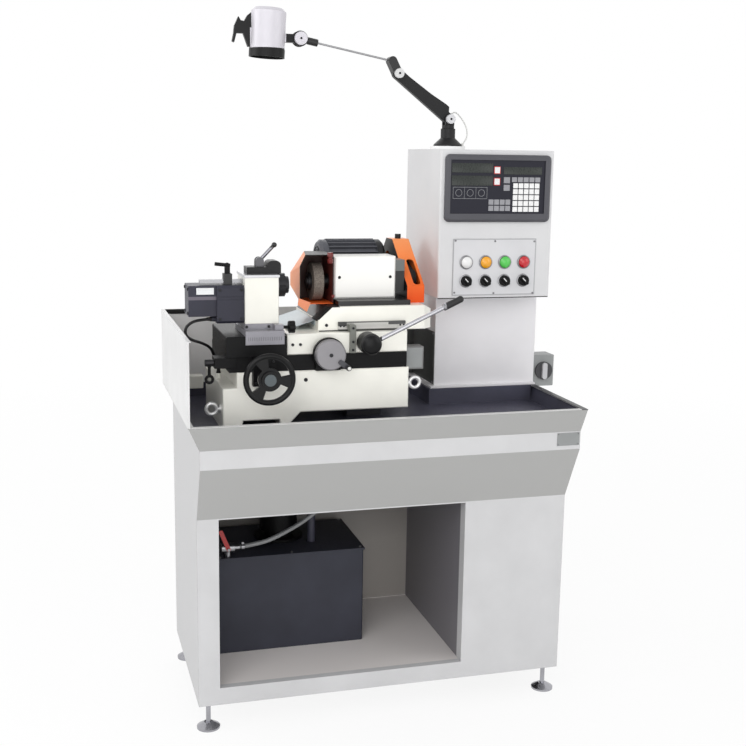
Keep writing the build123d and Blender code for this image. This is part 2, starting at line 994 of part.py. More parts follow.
with BuildPart() as pilot_lights:
    for switch_x in switch_xs:
        with BuildSketch(Plane.XY.offset(pilot_z)):
            with BuildLine():
                Polyline(
                    (switch_x, plate_front - pilot_collar - pilot_crown),
                    (switch_x, plate_front),
                    (switch_x + pilot_radius, plate_front),
                    (switch_x + pilot_radius, plate_front - pilot_collar),
                )
                RadiusArc(
                    (switch_x + pilot_radius, plate_front - pilot_collar),
                    (switch_x, plate_front - pilot_collar - pilot_crown),
                    (pilot_radius**2 + pilot_crown**2) / (2 * pilot_crown),
                )
            make_face()
        revolve(axis=Axis((switch_x, 0, pilot_z), (0, 1, 0)))
keep(pilot_lights, "pilot_lights")

for index, switch_x in enumerate(switch_xs):
    with BuildPart() as selector_knob:
        knob_back = plate_front - slide_gap
        with BuildSketch(front_plane(knob_back)):
            with Locations((switch_x, selector_z)):
                Circle(selector_radius)
        extrude(amount=selector_depth)
        with BuildSketch(front_plane(knob_back - selector_depth)):
            with Locations((switch_x, selector_z)):
                SlotOverall(selector_bar_length, selector_bar_width, rotation=180 - selector_angle)
        extrude(amount=selector_bar_depth)
        rod((switch_x, knob_back, selector_z), (switch_x, box_front + slide_gap - plate_thickness / 2, selector_z),
            selector_pin_radius)
    keep(selector_knob, f"selector_knob_{index + 1}")

# Isolator: a small box on the column's right side with a round knob facing the operator
isolator_front = column_front + isolator_front_inset
isolator_low = column_base - isolator_drop
isolator_x = column_right + isolator_reach / 2
isolator_z = isolator_low + isolator_height / 2
with BuildPart() as isolator_box:
    block(
        (column_right, column_right + isolator_reach),
        (isolator_front, isolator_front + isolator_depth),
        (isolator_low, isolator_low + isolator_height),
    )
    fillet(isolator_box.faces().sort_by(Axis.X)[-1].edges(), isolator_corner)
    rod(
        (isolator_x, isolator_front, isolator_z),
        (isolator_x, isolator_front + isolator_depth / 2, isolator_z),
        isolator_pin_radius + run_gap,
        mode=Mode.SUBTRACT,
    )
keep(isolator_box, "isolator_box")

with BuildPart() as isolator_knob:
    with BuildSketch(front_plane(isolator_front - slide_gap)):
        with Locations((isolator_x, isolator_z)):
            Circle(isolator_knob_radius)
    extrude(amount=isolator_knob_depth / 2)
    with BuildSketch(front_plane(isolator_front - slide_gap - isolator_knob_depth / 2)):
        with Locations((isolator_x, isolator_z)):
            SlotOverall(isolator_bar_length, isolator_knob_depth, rotation=90)
    extrude(amount=isolator_knob_depth / 2)
    rod(
        (isolator_x, isolator_front - slide_gap, isolator_z),
        (isolator_x, isolator_front + isolator_depth / 2 - slide_gap, isolator_z),
        isolator_pin_radius,
    )
keep(isolator_knob, "isolator_knob")

# Bed casting: a stepped front outline with an arched left foot and a short rear foot
with BuildPart() as bed:
    with BuildSketch(front_plane(bed_back)):
        with BuildLine():
            Polyline(
                (bed_left, pan_floor),
                (bed_left + arch_start, pan_floor),
                (bed_left + arch_start + arch_slope, pan_floor + arch_height),
                (bed_left + arch_start + arch_length - arch_slope, pan_floor + arch_height),
                (bed_left + arch_start + arch_length, pan_floor),
                (bed_left + bed_foot_length, pan_floor),
                (bed_left + bed_foot_length + bed_slope, bed_belly),
                (bed_right, bed_belly),
                (bed_right, bed_top),
                (bed_left + bed_step, bed_top),
                (bed_left + bed_step, bed_foot_top),
                (bed_left, bed_foot_top),
                close=True,
            )
        make_face()
    extrude(amount=bed_depth)
    chamfer(bed.faces().sort_by(Axis.Y)[0].edges(), bed_edge / 2)
    rear_foot_right = bed_right - rear_foot_inset
    rear_foot_back = bed_back - rear_foot_inset
    block(
        (rear_foot_right - rear_foot_length, rear_foot_right),
        (rear_foot_back - rear_foot_depth, rear_foot_back),
        (pan_floor, bed_belly),
    )
    block(
        (feed_x - feed_trench / 2, feed_x + feed_trench / 2),
        (bed_front + feed_wall, bed_back),
        (bed_top - feed_trench_drop, bed_top),
        mode=Mode.SUBTRACT,
    )
    rod((feed_x, bed_front, feed_z), (feed_x, bed_front + feed_wall, feed_z), screw_hole, mode=Mode.SUBTRACT)
    rod((bed_gland_x, bed_gland_y, bed_foot_top), (bed_gland_x, bed_gland_y, bed_foot_top + bed_gland),
        bed_gland_radius)
    plug = (saddle_left + oil_plug_inset, bed_front, bed_top - oil_plug_drop)
    rod(plug, (plug[0], plug[1] + oil_plug_depth, plug[2]), oil_plug_radius, mode=Mode.SUBTRACT)
keep(bed, "bed")

# Lifting eyebolts at the two ends of the bed
eyes = (
    (bed_right, 1, bed_front + eye_front_inset, bed_top - eye_right_drop),
    (bed_left, -1, bed_front + 2 * eye_front_inset, pan_floor + eye_left_rise),
)
with BuildPart() as lifting_eyebolts:
    for face_x, side, eye_y, eye_z in eyes:
        eye_x = face_x + side * (eye_shank + eye_radius)
        with Locations(Location((eye_x, eye_y, eye_z), (90, 0, 0))):
            Torus(eye_radius, eye_bar_radius)
        rod((face_x, eye_y, eye_z), (face_x + side * eye_shank, eye_y, eye_z), eye_bar_radius)
        rod((face_x, eye_y, eye_z), (face_x + side * eye_shoulder, eye_y, eye_z), eye_shoulder_radius)
keep(lifting_eyebolts, "lifting_eyebolts")

# Way base: two T-slots along Y, the feed bracket, the dial bracket, the clamp arm and an end box
neck_floor = way_top - t_neck_depth
feed_bracket_front = bed_front - feed_bracket
flange_back = saddle_front - saddle_travel - flange_clear
flange_front = flange_back - cross_flange
with BuildPart() as way_base:
    block((way_left, way_right), (way_front, way_back), (bed_top, way_top))
    block(
        (way_left - clamp_arm_length + clamp_arm_overlap, way_left + clamp_arm_overlap),
        (way_front - clamp_arm_forward, way_front - clamp_arm_forward + clamp_arm_depth),
        (way_top - clamp_arm_drop - clamp_arm_height, way_top - clamp_arm_drop),
    )
    for slot_x in (feed_x, cross_x):
        block(
            (slot_x - t_neck / 2, slot_x + t_neck / 2),
            (way_front + slot_front_wall, way_back),
            (neck_floor, way_top),
            mode=Mode.SUBTRACT,
        )
        block(
            (slot_x - t_foot / 2, slot_x + t_foot / 2),
            (way_front + slot_front_wall, way_back),
            (bed_top, neck_floor),
            mode=Mode.SUBTRACT,
        )
    block(
        (feed_x - feed_bracket_width / 2, feed_x + feed_bracket_width / 2),
        (feed_bracket_front, bed_front),
        (feed_z - feed_bracket_width / 2, way_top - clamp_arm_drop),
    )
    block(
        (feed_x - feed_bracket_width / 2, feed_x + feed_bracket_width / 2),
        (bed_front, way_front),
        (bed_top, way_top - clamp_arm_drop),
    )
    block(
        (cross_x - cross_bracket_width / 2, cross_x + cross_bracket_width / 2),
        (flange_back, way_front),
        (bed_top, way_top - clamp_arm_drop),
    )
    rod((cross_x, flange_back, cross_z), (cross_x, flange_front, cross_z), cross_flange_radius)
    rod(
        (feed_x, bed_front, feed_z),
        (feed_x, way_front + slot_front_wall, feed_z),
        screw_hole,
        mode=Mode.SUBTRACT,
    )
    rod(
        (feed_x, feed_bracket_front, feed_z),
        (feed_x, bed_front, feed_z),
        feed_shaft_radius + run_gap,
        mode=Mode.SUBTRACT,
    )
    rod(
        (cross_x, flange_back, cross_z),
        (cross_x, way_front + slot_front_wall, cross_z),
        screw_hole,
        mode=Mode.SUBTRACT,
    )
    rod(
        (cross_x, flange_front, cross_z),
        (cross_x, flange_back, cross_z),
        feed_shaft_radius + run_gap,
        mode=Mode.SUBTRACT,
    )
    for end_box_x, end_box_z in (
        ((way_right, bed_right), (bed_top, way_top - clamp_arm_drop)),
        ((bed_right, bed_right + end_box_length), (bed_top - end_box_drop, way_top + end_box_rise)),
    ):
        block(end_box_x, (way_front + end_box_inset, way_front + end_box_inset + end_box_depth), end_box_z)
    clamp_x = way_left - clamp_arm_length + clamp_arm_overlap
    clamp_y = way_front - clamp_arm_forward + clamp_arm_depth / 3
    clamp_z = way_top - clamp_arm_drop - clamp_arm_height / 2
    rod(
        (clamp_x, clamp_y, clamp_z),
        (clamp_x + clamp_pin_length, clamp_y, clamp_z),
        clamp_pin_radius + run_gap,
        mode=Mode.SUBTRACT,
    )
keep(way_base, "way_base")

# Table clamp lever: a pin and boss with a hanging arm that ends in a ring
with BuildPart() as table_clamp_lever:
    lever_face = clamp_x - slide_gap
    rod(
        (lever_face, clamp_y, clamp_z),
        (clamp_x + clamp_pin_length - slide_gap, clamp_y, clamp_z),
        clamp_pin_radius,
    )
    rod((lever_face, clamp_y, clamp_z), (lever_face - clamp_lever_thickness, clamp_y, clamp_z), clamp_boss_radius)
    arm_x = lever_face - clamp_lever_thickness / 2
    rod((arm_x, clamp_y, clamp_z), (arm_x, clamp_y, clamp_z - clamp_lever_length), clamp_ring_bar)
    with Locations(Location((arm_x, clamp_y, clamp_z - clamp_lever_length - clamp_ring_radius), (90, 0, 0))):
        Torus(clamp_ring_radius, clamp_ring_bar)
keep(table_clamp_lever, "table_clamp_lever")

# Work table: a flat slide with a T-shaped lug that is also the feed screw's nut
feed_lug_front = way_front + slot_front_wall + feed_travel + slot_end_gap
with BuildPart() as work_table:
    block((table_left, table_right), (table_front, table_back), (way_top, table_top))
    chamfer(work_table.faces().sort_by(Axis.Z)[-1].edges(), table_edge)
    block(
        (feed_x - t_neck / 2 + slide_gap, feed_x + t_neck / 2 - slide_gap),
        (feed_lug_front, feed_lug_front + feed_lug_length),
        (neck_floor - slide_gap, way_top),
    )
    block(
        (feed_x - t_foot / 2 + slide_gap, feed_x + t_foot / 2 - slide_gap),
        (feed_lug_front, feed_lug_front + feed_lug_length),
        (feed_z - feed_lug_drop, neck_floor - slide_gap),
    )
    rod(
        (feed_x, feed_lug_front, feed_z),
        (feed_x, feed_lug_front + feed_lug_length, feed_z),
        feed_screw_radius + screw_gap,
        mode=Mode.SUBTRACT,
    )
keep(work_table, "work_table")

# Feed screw: journal in the bracket, a thrust collar behind it and the screw under the table
feed_hub_back = feed_bracket_front - slide_gap
feed_screw_end = feed_lug_front + feed_lug_length + feed_travel + screw_run_out
with BuildPart() as feed_screw:
    rod((feed_x, handwheel_y, feed_z), (feed_x, bed_front + slide_gap, feed_z), feed_shaft_radius)
    rod((feed_x, feed_hub_back, feed_z), (feed_x, feed_hub_back - feed_collar, feed_z), feed_collar_radius)
    rod(
        (feed_x, bed_front + slide_gap, feed_z),
        (feed_x, bed_front + slide_gap + thrust_collar, feed_z),
        thrust_collar_radius,
    )
    rod((feed_x, bed_front + slide_gap, feed_z), (feed_x, feed_screw_end, feed_z), feed_screw_radius)
keep(feed_screw, "feed_screw")

# Feed handwheel: a round rim, a dished web with three openings and a hub with a cap
with BuildPart() as feed_handwheel:
    with Locations(Location((feed_x, handwheel_y, feed_z), (90, 0, 0))):
        Torus(handwheel_radius - handwheel_rim_width / 2, handwheel_rim_width / 2)
    with BuildSketch(front_plane(handwheel_y + handwheel_web / 2)):
        with Locations((feed_x, feed_z)):
            Circle(handwheel_radius - handwheel_rim_width / 2)
    extrude(amount=handwheel_web)
    opening_outer = handwheel_radius - handwheel_rim_width
    for opening in range(handwheel_spokes):
        middle = handwheel_opening_angle + opening * 360 / handwheel_spokes
        first = middle - handwheel_opening_width / 2
        last = middle + handwheel_opening_width / 2
        with BuildSketch(front_plane(handwheel_y + handwheel_rim_width)):
            with BuildLine():
                CenterArc((feed_x, feed_z), handwheel_opening_inner, first, handwheel_opening_width)
                CenterArc((feed_x, feed_z), opening_outer, first, handwheel_opening_width)
                for angle in (first, last):
                    turn = math.radians(angle)
                    Line(
                        (
                            feed_x + handwheel_opening_inner * math.cos(turn),
                            feed_z + handwheel_opening_inner * math.sin(turn),
                        ),
                        (feed_x + opening_outer * math.cos(turn), feed_z + opening_outer * math.sin(turn)),
                    )
            make_face()
        extrude(amount=2 * handwheel_rim_width, mode=Mode.SUBTRACT)
    rod(
        (feed_x, feed_hub_back - feed_collar, feed_z),
        (feed_x, handwheel_y - handwheel_hub_reach, feed_z),
        handwheel_hub_radius,
    )
    rod(
        (feed_x, handwheel_y - handwheel_hub_reach, feed_z),
        (feed_x, handwheel_y - handwheel_hub_reach - handwheel_cap, feed_z),
        handwheel_cap_radius,
    )
    rod(
        (feed_x, feed_hub_back - feed_collar, feed_z),
        (feed_x, handwheel_y, feed_z),
        feed_shaft_radius,
        mode=Mode.SUBTRACT,
    )
keep(feed_handwheel, "feed_handwheel")

# Swivel base of the workhead: two tiers and a scale plate hanging at the front
head_x = (head_left + head_right) / 2
tier_top = table_top + swivel_lower
swivel_front = table_front - swivel_scale_thickness
knob_y = swivel_front + swivel_knob_back
knob_z = head_bottom - swivel_knob_drop
with BuildPart() as swivel_base:
    block(
        (head_x - swivel_width / 2, head_x + swivel_width / 2),
        (swivel_front, head_front + head_depth),
        (table_top, tier_top),
    )
    block(
        (head_x - swivel_top_width / 2, head_x + swivel_top_width / 2),
        (head_front - swivel_top_forward, head_front + head_depth),
        (tier_top, head_bottom),
    )
    block(
        (head_x - swivel_width / 2, head_x + swivel_width / 2),
        (swivel_front, table_front),
        (table_top - swivel_scale_drop, table_top),
    )
    block(
        (head_x + swivel_top_width / 2 - swivel_boss, head_x + swivel_width / 2),
        (knob_y - swivel_boss / 2, head_front),
        (tier_top, head_bottom),
    )
    rod(
        (head_x + swivel_width / 2 - swivel_knob_stem, knob_y, knob_z),
        (head_x + swivel_width / 2, knob_y, knob_z),
        swivel_knob_stem_radius + run_gap,
        mode=Mode.SUBTRACT,
    )
keep(swivel_base, "swivel_base")

# Swivel lock knob: five lobes on a stem along X
with BuildPart() as swivel_knob:
    stem_start = head_x + swivel_width / 2
    rod(
        (stem_start - swivel_knob_stem + slide_gap, knob_y, knob_z),
        (stem_start + swivel_knob_stem, knob_y, knob_z),
        swivel_knob_stem_radius,
    )
    with BuildSketch(Plane.YZ.offset(stem_start + swivel_knob_stem)):
        with Locations((knob_y, knob_z)):
            Circle(swivel_knob_radius)
            with PolarLocations(swivel_knob_radius + swivel_knob_notch / 3, swivel_knob_lobes):
                Circle(swivel_knob_notch, mode=Mode.SUBTRACT)
    extrude(amount=swivel_knob_length)
    chamfer(swivel_knob.faces().sort_by(Axis.X)[-1].edges(), table_edge)
keep(swivel_knob, "swivel_knob")

# Workhead: a block with a lid, bored for the spindle from its right side
bore_end = head_left + head_blind
with BuildPart() as workhead:
    block((head_left, head_right), (head_front, head_front + head_depth), (head_bottom, head_top - head_lid))
    chamfer(workhead.edges().filter_by(Axis.Z), table_edge)
    block(
        (head_left - head_lid_reach, head_right + head_lid_reach),
        (head_front - head_lid_reach, head_front + head_depth),
        (head_top - head_lid, head_top),
    )
    rod((bore_end, work_y, axis_z), (head_right, work_y, axis_z), work_shaft_radius + run_gap,
        mode=Mode.SUBTRACT)
keep(workhead, "workhead")

# Work spindle with its nose flange, and the collet chuck clamped to it
flange_left = head_right + chuck_wall_gap
chuck_left = flange_left + chuck_collar
chuck_right = chuck_left + chuck_length + chuck_nose_length
with BuildPart() as work_spindle:
    rod((bore_end + slide_gap, work_y, axis_z), (flange_left, work_y, axis_z), work_shaft_radius)
    rod((flange_left, work_y, axis_z), (chuck_left, work_y, axis_z), chuck_collar_radius)
    rod(
        (bore_end + slide_gap, work_y, axis_z),
        (chuck_left, work_y, axis_z),
        work_bore_radius,
        mode=Mode.SUBTRACT,
    )
keep(work_spindle, "work_spindle")

with BuildPart() as work_chuck:
    rod((chuck_left, work_y, axis_z), (chuck_left + chuck_length, work_y, axis_z), chuck_radius)
    rod((chuck_left + chuck_length, work_y, axis_z), (chuck_right, work_y, axis_z), chuck_nose_radius)
    rod((chuck_left, work_y, axis_z), (chuck_right, work_y, axis_z), work_bore_radius, mode=Mode.SUBTRACT)
    with BuildSketch(Plane.YZ.offset(chuck_right - chuck_nose_length)):
        with Locations((work_y, axis_z)):
            with PolarLocations((chuck_nose_radius + work_bore_radius) / 2, chuck_slots, start_angle=90):
                Rectangle(chuck_nose_radius, chuck_slot_width)
    extrude(amount=chuck_nose_length, mode=Mode.SUBTRACT)
    with BuildSketch(Plane.YZ.offset(chuck_left)):
        with Locations((work_y, axis_z)):
            with PolarLocations(chuck_radius, chuck_flats):
                Circle(chuck_slot_width)
    extrude(amount=chuck_length, mode=Mode.SUBTRACT)
keep(work_chuck, "work_chuck")

# Work motor: a square flange against the workhead and a smaller grooved body behind it
motor_top = head_bottom + work_flange_size
motor_neck = head_left - work_flange_length
motor_end = motor_neck - work_motor_length
cable_y = work_y - work_motor_size / 4
cable_z = (head_bottom + motor_top - work_motor_size) / 2
with BuildPart() as work_motor:
    block(
        (motor_neck, head_left),
        (work_y - work_flange_size / 2, work_y + work_flange_size / 2),
        (head_bottom, motor_top),
    )
    chamfer(work_motor.edges().filter_by(Axis.X), work_motor_corner)
    block(
        (motor_end, motor_neck),
        (work_y - work_motor_size / 2, work_y + work_motor_size / 2),
        (motor_top - work_motor_size, motor_top),
    )
    block(
        (motor_end, head_left),
        (work_y - work_flange_size / 2, work_y - work_flange_size / 2 + work_motor_groove_depth),
        (motor_top - work_motor_drop, motor_top - work_motor_drop + work_motor_groove),
        mode=Mode.SUBTRACT,
    )
    rod((motor_neck, cable_y, cable_z), (motor_neck - cable_gland, cable_y, cable_z), cable_gland_radius)
keep(work_motor, "work_motor")

# Collet closer: a low bar and a tower on the lid, with two ears for the ball lever
closer_left = head_left + closer_inset
closer_right = closer_left + closer_length
closer_pivot = (closer_left + closer_ear_from_left, head_top + closer_pivot_height)
ear_half = closer_ear_gap / 2 + closer_ear
with BuildPart() as collet_closer:
    block(
        (closer_left, closer_right),
        (work_y - closer_depth / 2, work_y + closer_depth / 2),
        (head_top, head_top + closer_bar),
    )
    with BuildSketch(front_plane(work_y + closer_depth / 2)):
        between((closer_right - closer_tower_length, closer_right), (head_top, head_top + closer_tower))
    extrude(amount=closer_depth)
    fillet(collet_closer.edges().filter_by(Axis.Y).group_by(Axis.Z)[-1], closer_round)
    with BuildSketch(front_plane(work_y + ear_half)):
        with Locations(closer_pivot):
            Circle(closer_ear_radius)
        between(
            (closer_pivot[0] - closer_ear_radius, closer_pivot[0] + closer_ear_radius),
            (head_top + closer_bar, closer_pivot[1]),
        )
    extrude(amount=2 * ear_half)
    block(
        (closer_left, closer_pivot[0] + closer_ear_radius),
        (work_y - closer_ear_gap / 2, work_y + closer_ear_gap / 2),
        (head_top + closer_bar, closer_pivot[1] + closer_ear_radius),
        mode=Mode.SUBTRACT,
    )
    rod(
        (closer_pivot[0], work_y - ear_half, closer_pivot[1]),
        (closer_pivot[0], work_y + ear_half, closer_pivot[1]),
        closer_pin_radius,
    )
keep(collet_closer, "collet_closer")

# Ball lever of the collet closer
with BuildPart() as collet_lever:
    rise = math.radians(closer_lever_angle)
    reach_x = closer_pivot[0] + closer_lever_reach * math.cos(rise)
    reach_z = closer_pivot[1] + closer_lever_reach * math.sin(rise)
    boss_half = closer_ear_gap / 2 - slide_gap
    rod(
        (closer_pivot[0], work_y - boss_half, closer_pivot[1]),
        (closer_pivot[0], work_y + boss_half, closer_pivot[1]),
        closer_lever_boss,
    )
    rod((closer_pivot[0], work_y, closer_pivot[1]), (reach_x, work_y, reach_z), closer_lever_radius)
    with Locations((reach_x, work_y, reach_z)):
        Sphere(closer_ball_radius)
    rod(
        (closer_pivot[0], work_y - boss_half, closer_pivot[1]),
        (closer_pivot[0], work_y + boss_half, closer_pivot[1]),
        closer_pin_radius + run_gap,
        mode=Mode.SUBTRACT,
    )
keep(collet_lever, "collet_lever")

# Toggle clamp: a bar from the workhead over the motor, and a block with a slot for the handle
toggle_y = work_y - toggle_forward
toggle_bar_z = motor_top + toggle_bar_rise
toggle_left = head_left - toggle_block_left - toggle_block_length
toggle_x = toggle_left + toggle_block_length / 2
toggle_z = motor_top + toggle_block_height - toggle_arm_width
with BuildPart() as toggle_clamp:
    block(
        (head_left - toggle_bar_length, head_left),
        (toggle_y - toggle_bar_depth / 2, toggle_y + toggle_bar_depth / 2),
        (toggle_bar_z, toggle_bar_z + toggle_bar_height),
    )
    block(
        (toggle_left, toggle_left + toggle_block_length),
        (toggle_y - toggle_block_depth / 2, toggle_y + toggle_block_depth / 2),
        (motor_top, motor_top + toggle_block_height),
    )
    block(
        (toggle_left, toggle_left + toggle_block_length),
        (toggle_y - toggle_ear_gap / 2, toggle_y + toggle_ear_gap / 2),
        (toggle_z - toggle_arm_width, motor_top + toggle_block_height),
        mode=Mode.SUBTRACT,
    )
    rod(
        (toggle_x, toggle_y - toggle_ear_gap, toggle_z),
        (toggle_x, toggle_y + toggle_ear_gap, toggle_z),
        toggle_pin_radius,
    )
keep(toggle_clamp, "toggle_clamp")

with BuildPart() as toggle_handle:
    arm_half = toggle_ear_gap / 2 - slide_gap
    with BuildSketch(front_plane(toggle_y + arm_half)):
        with Locations((toggle_x, toggle_z + toggle_arm_rise / 2)):
            SlotOverall(toggle_arm_rise + 2 * toggle_arm_width - 2 * slide_gap, 2 * toggle_arm_width - 4 * slide_gap,
                        rotation=90)
        with Locations((toggle_x, toggle_z)):
            Circle(toggle_pin_radius + run_gap, mode=Mode.SUBTRACT)
    extrude(amount=2 * arm_half)
    rod(
        (toggle_x + toggle_arm_width, toggle_y, toggle_z + toggle_arm_rise),
        (toggle_x - toggle_grip_length, toggle_y, toggle_z + toggle_arm_rise + toggle_grip_drop),
        toggle_grip_radius,
    )
keep(toggle_handle, "toggle_handle")

# Saddle: a nut lug below, a T-slot along X above, a rack trench and a pinion pocket
pinion_radius = gear_module * pinion_teeth / 2
gear_pitch = math.pi * gear_module
rack_y = saddle_front + rack_back
rack_length = rack_teeth * gear_pitch
pinion_tip = pinion_radius + gear_addendum
slot_y = slide_front + slide_lug_back
slide_lug_left = slide_left + slide_lug_from_left
saddle_lug_front = saddle_front + saddle_lug_back
saddle_lug_end = saddle_lug_front + saddle_lug_length
cross_screw_end = saddle_lug_end + saddle_travel + screw_run_out
slot_neck_floor = saddle_top - t_neck_depth
with BuildPart() as saddle:
    block((saddle_left, saddle_right), (saddle_front, saddle_back), (way_top, saddle_top))
    chamfer(saddle.faces().sort_by(Axis.Y)[0].edges(), table_edge)
    block(
        (cross_x - t_neck / 2 + slide_gap, cross_x + t_neck / 2 - slide_gap),
        (saddle_lug_front, saddle_lug_end),
        (neck_floor - slide_gap, way_top),
    )
    block(
        (cross_x - t_foot / 2 + slide_gap, cross_x + t_foot / 2 - slide_gap),
        (saddle_lug_front, saddle_lug_end),
        (neck_floor - t_lug_depth, neck_floor - slide_gap),
    )
    for channel_start, channel_end in (
        (saddle_front, saddle_lug_front),
        (saddle_lug_end, cross_screw_end + saddle_travel + screw_run_out),
    ):
        block(
            (cross_x - saddle_channel / 2, cross_x + saddle_channel / 2),
            (channel_start, channel_end),
            (way_top, way_top + saddle_channel_height),
            mode=Mode.SUBTRACT,
        )
    rod(
        (cross_x, saddle_lug_front, cross_z),
        (cross_x, saddle_lug_end, cross_z),
        cross_screw_radius + screw_gap,
        mode=Mode.SUBTRACT,
    )
    block(
        (slide_lug_left - slide_stroke - slot_end_gap, saddle_right),
        (slot_y - t_neck / 2, slot_y + t_neck / 2),
        (slot_neck_floor, saddle_top),
        mode=Mode.SUBTRACT,
    )
    block(
        (slide_lug_left - slide_stroke - slot_end_gap, saddle_right),
        (slot_y - t_foot / 2, slot_y + t_foot / 2),
        (slot_neck_floor - t_foot_depth, slot_neck_floor),
        mode=Mode.SUBTRACT,
    )
    block(
        (lever_x - rack_length / 2 - slide_stroke - slot_end_gap, saddle_right),
        (rack_y - rack_width / 2 - rack_side_gap, rack_y + rack_width / 2 + rack_side_gap),
        (saddle_top - rack_trench, saddle_top),
        mode=Mode.SUBTRACT,
    )
    block(
        (lever_x - pinion_tip - pinion_end_gap, lever_x + pinion_tip + pinion_end_gap),
        (rack_y - pinion_width / 2 - pinion_side_gap, rack_y + pinion_width / 2 + pinion_side_gap),
        (lever_z - pinion_tip - pinion_end_gap, saddle_top),
        mode=Mode.SUBTRACT,
    )
    lever_tail_end = rack_y + pinion_width / 2 + pinion_side_gap + lever_tail
    rod((lever_x, saddle_front, lever_z), (lever_x, lever_tail_end, lever_z), lever_shaft_radius + run_gap,
        mode=Mode.SUBTRACT)
keep(saddle, "saddle")

# Cross screw: journal in the flange, a thrust collar behind it and the screw under the saddle
dial_back = flange_front - dial_gap
with BuildPart() as cross_screw:
    rod((cross_x, dial_back - dial_seat, cross_z), (cross_x, flange_back + slide_gap, cross_z), feed_shaft_radius)
    rod(
        (cross_x, flange_back + slide_gap, cross_z),
        (cross_x, flange_back + slide_gap + thrust_collar, cross_z),
        thrust_collar_radius,
    )
    rod((cross_x, flange_back + slide_gap, cross_z), (cross_x, cross_screw_end, cross_z), cross_screw_radius)
keep(cross_screw, "cross_screw")

# Graduated dial with a short crank that ends in a ball
dial_front = dial_back - dial_depth
crank_turn = math.radians(crank_angle)
crank_x = cross_x + crank_reach * math.cos(crank_turn)
crank_z = cross_z + crank_reach * math.sin(crank_turn)
with BuildPart() as graduated_dial:
    rod((cross_x, dial_back, cross_z), (cross_x, dial_front, cross_z), dial_radius)
    chamfer(graduated_dial.faces().sort_by(Axis.Y)[0].edges(), dial_taper)
    rod((cross_x, dial_back, cross_z), (cross_x, dial_back - dial_seat, cross_z), feed_shaft_radius,
        mode=Mode.SUBTRACT)
    rod((cross_x, dial_front, cross_z), (cross_x, dial_front + dial_hole_depth, cross_z), dial_hole_radius,
        mode=Mode.SUBTRACT)
    with BuildSketch(front_plane(dial_front)):
        with Locations(
            (
                cross_x + (crank_reach + crank_start) / 2 * math.cos(crank_turn),
                cross_z + (crank_reach + crank_start) / 2 * math.sin(crank_turn),
            )
        ):
            SlotOverall(crank_reach - crank_start + crank_width, crank_width, rotation=crank_angle)
    extrude(amount=crank_depth)
    rod((crank_x, dial_front - crank_depth, crank_z), (crank_x, dial_front - crank_depth - crank_stem, crank_z),
        crank_stem_radius)
    with Locations((crank_x, dial_front - crank_depth - crank_stem, crank_z)):
        Sphere(crank_ball_radius)
keep(graduated_dial, "graduated_dial")


def involute(angle):
    """The involute function of an angle in radians."""
    return math.tan(angle) - angle


def pinion_outline():
    """The points round the pinion, with a gap between two teeth at the top."""
    working = math.radians(pressure_angle)
    base_radius = pinion_radius * math.cos(working)
    root = pinion_radius - gear_dedendum
    radii = [root, base_radius, (base_radius + pinion_tip) / 2, pinion_tip]
    half_pitch = (gear_pitch / 2 - gear_backlash) / (2 * pinion_radius)
    flank = []
    for radius in radii:
        roll = math.acos(min(1.0, base_radius / radius))
        flank.append((radius, half_pitch + involute(working) - involute(roll)))
    points = []
    for tooth in range(pinion_teeth):
        middle = math.pi / 2 + (tooth + 0.5) * 2 * math.pi / pinion_teeth
        turned = [(radius, middle - half) for radius, half in flank]
        turned += [(radius, middle + half) for radius, half in reversed(flank)]
        for radius, angle in turned:
            points.append((lever_x + radius * math.cos(angle), lever_z + radius * math.sin(angle)))
    return points


def rack_outline():
    """The points along the rack under the slide, with a tooth over the lever's axis."""
    pitch_line = lever_z + pinion_radius
    slope = math.tan(math.radians(pressure_angle))
    half_tooth = (gear_pitch / 2 - gear_backlash) / 2
    root_half = half_tooth + gear_dedendum * slope
    tip_half = half_tooth - gear_addendum * slope
    points = [(lever_x - rack_length / 2, saddle_top), (lever_x - rack_length / 2, pitch_line + gear_dedendum)]
    for tooth in range(rack_teeth):
        middle = lever_x + (tooth - (rack_teeth - 1) / 2) * gear_pitch
        points.append((middle - root_half, pitch_line + gear_dedendum))
        points.append((middle - tip_half, pitch_line - gear_addendum))
        points.append((middle + tip_half, pitch_line - gear_addendum))
        points.append((middle + root_half, pitch_line + gear_dedendum))
    points.append((lever_x + rack_length / 2, pitch_line + gear_dedendum))
    points.append((lever_x + rack_length / 2, saddle_top))
    return points


# Traverse lever: hub, long rod with a grip, and the shaft with its pinion
hub_back = saddle_front - lever_hub_gap
hub_front = hub_back - lever_hub_depth
rod_y = hub_front + lever_rod_inset
lever_turn = math.radians(lever_angle)


def along_lever(distance):
    """A point on the lever's rod at a distance from its hub."""
    return (lever_x + distance * math.cos(lever_turn), rod_y, lever_z + distance * math.sin(lever_turn))


with BuildPart() as slide_lever:
    rod((lever_x, hub_back, lever_z), (lever_x, hub_front, lever_z), lever_hub_radius)
    chamfer(slide_lever.faces().sort_by(Axis.Y)[0].edges(), dial_taper)
    rod(along_lever(lever_hub_radius / 2), along_lever(lever_length - lever_grip_length), lever_rod_radius)
    rod(along_lever(lever_length - lever_grip_length), along_lever(lever_length), lever_grip_radius)
    with Locations(along_lever(lever_length)):
        Sphere(lever_grip_radius)
    rod((lever_x, hub_back, lever_z), (lever_x, lever_tail_end - slide_gap, lever_z), lever_shaft_radius)
    with BuildSketch(front_plane(rack_y + pinion_width / 2)):
        with BuildLine():
            Polyline(*pinion_outline(), close=True)
        make_face()
    extrude(amount=pinion_width)
keep(slide_lever, "slide_lever")

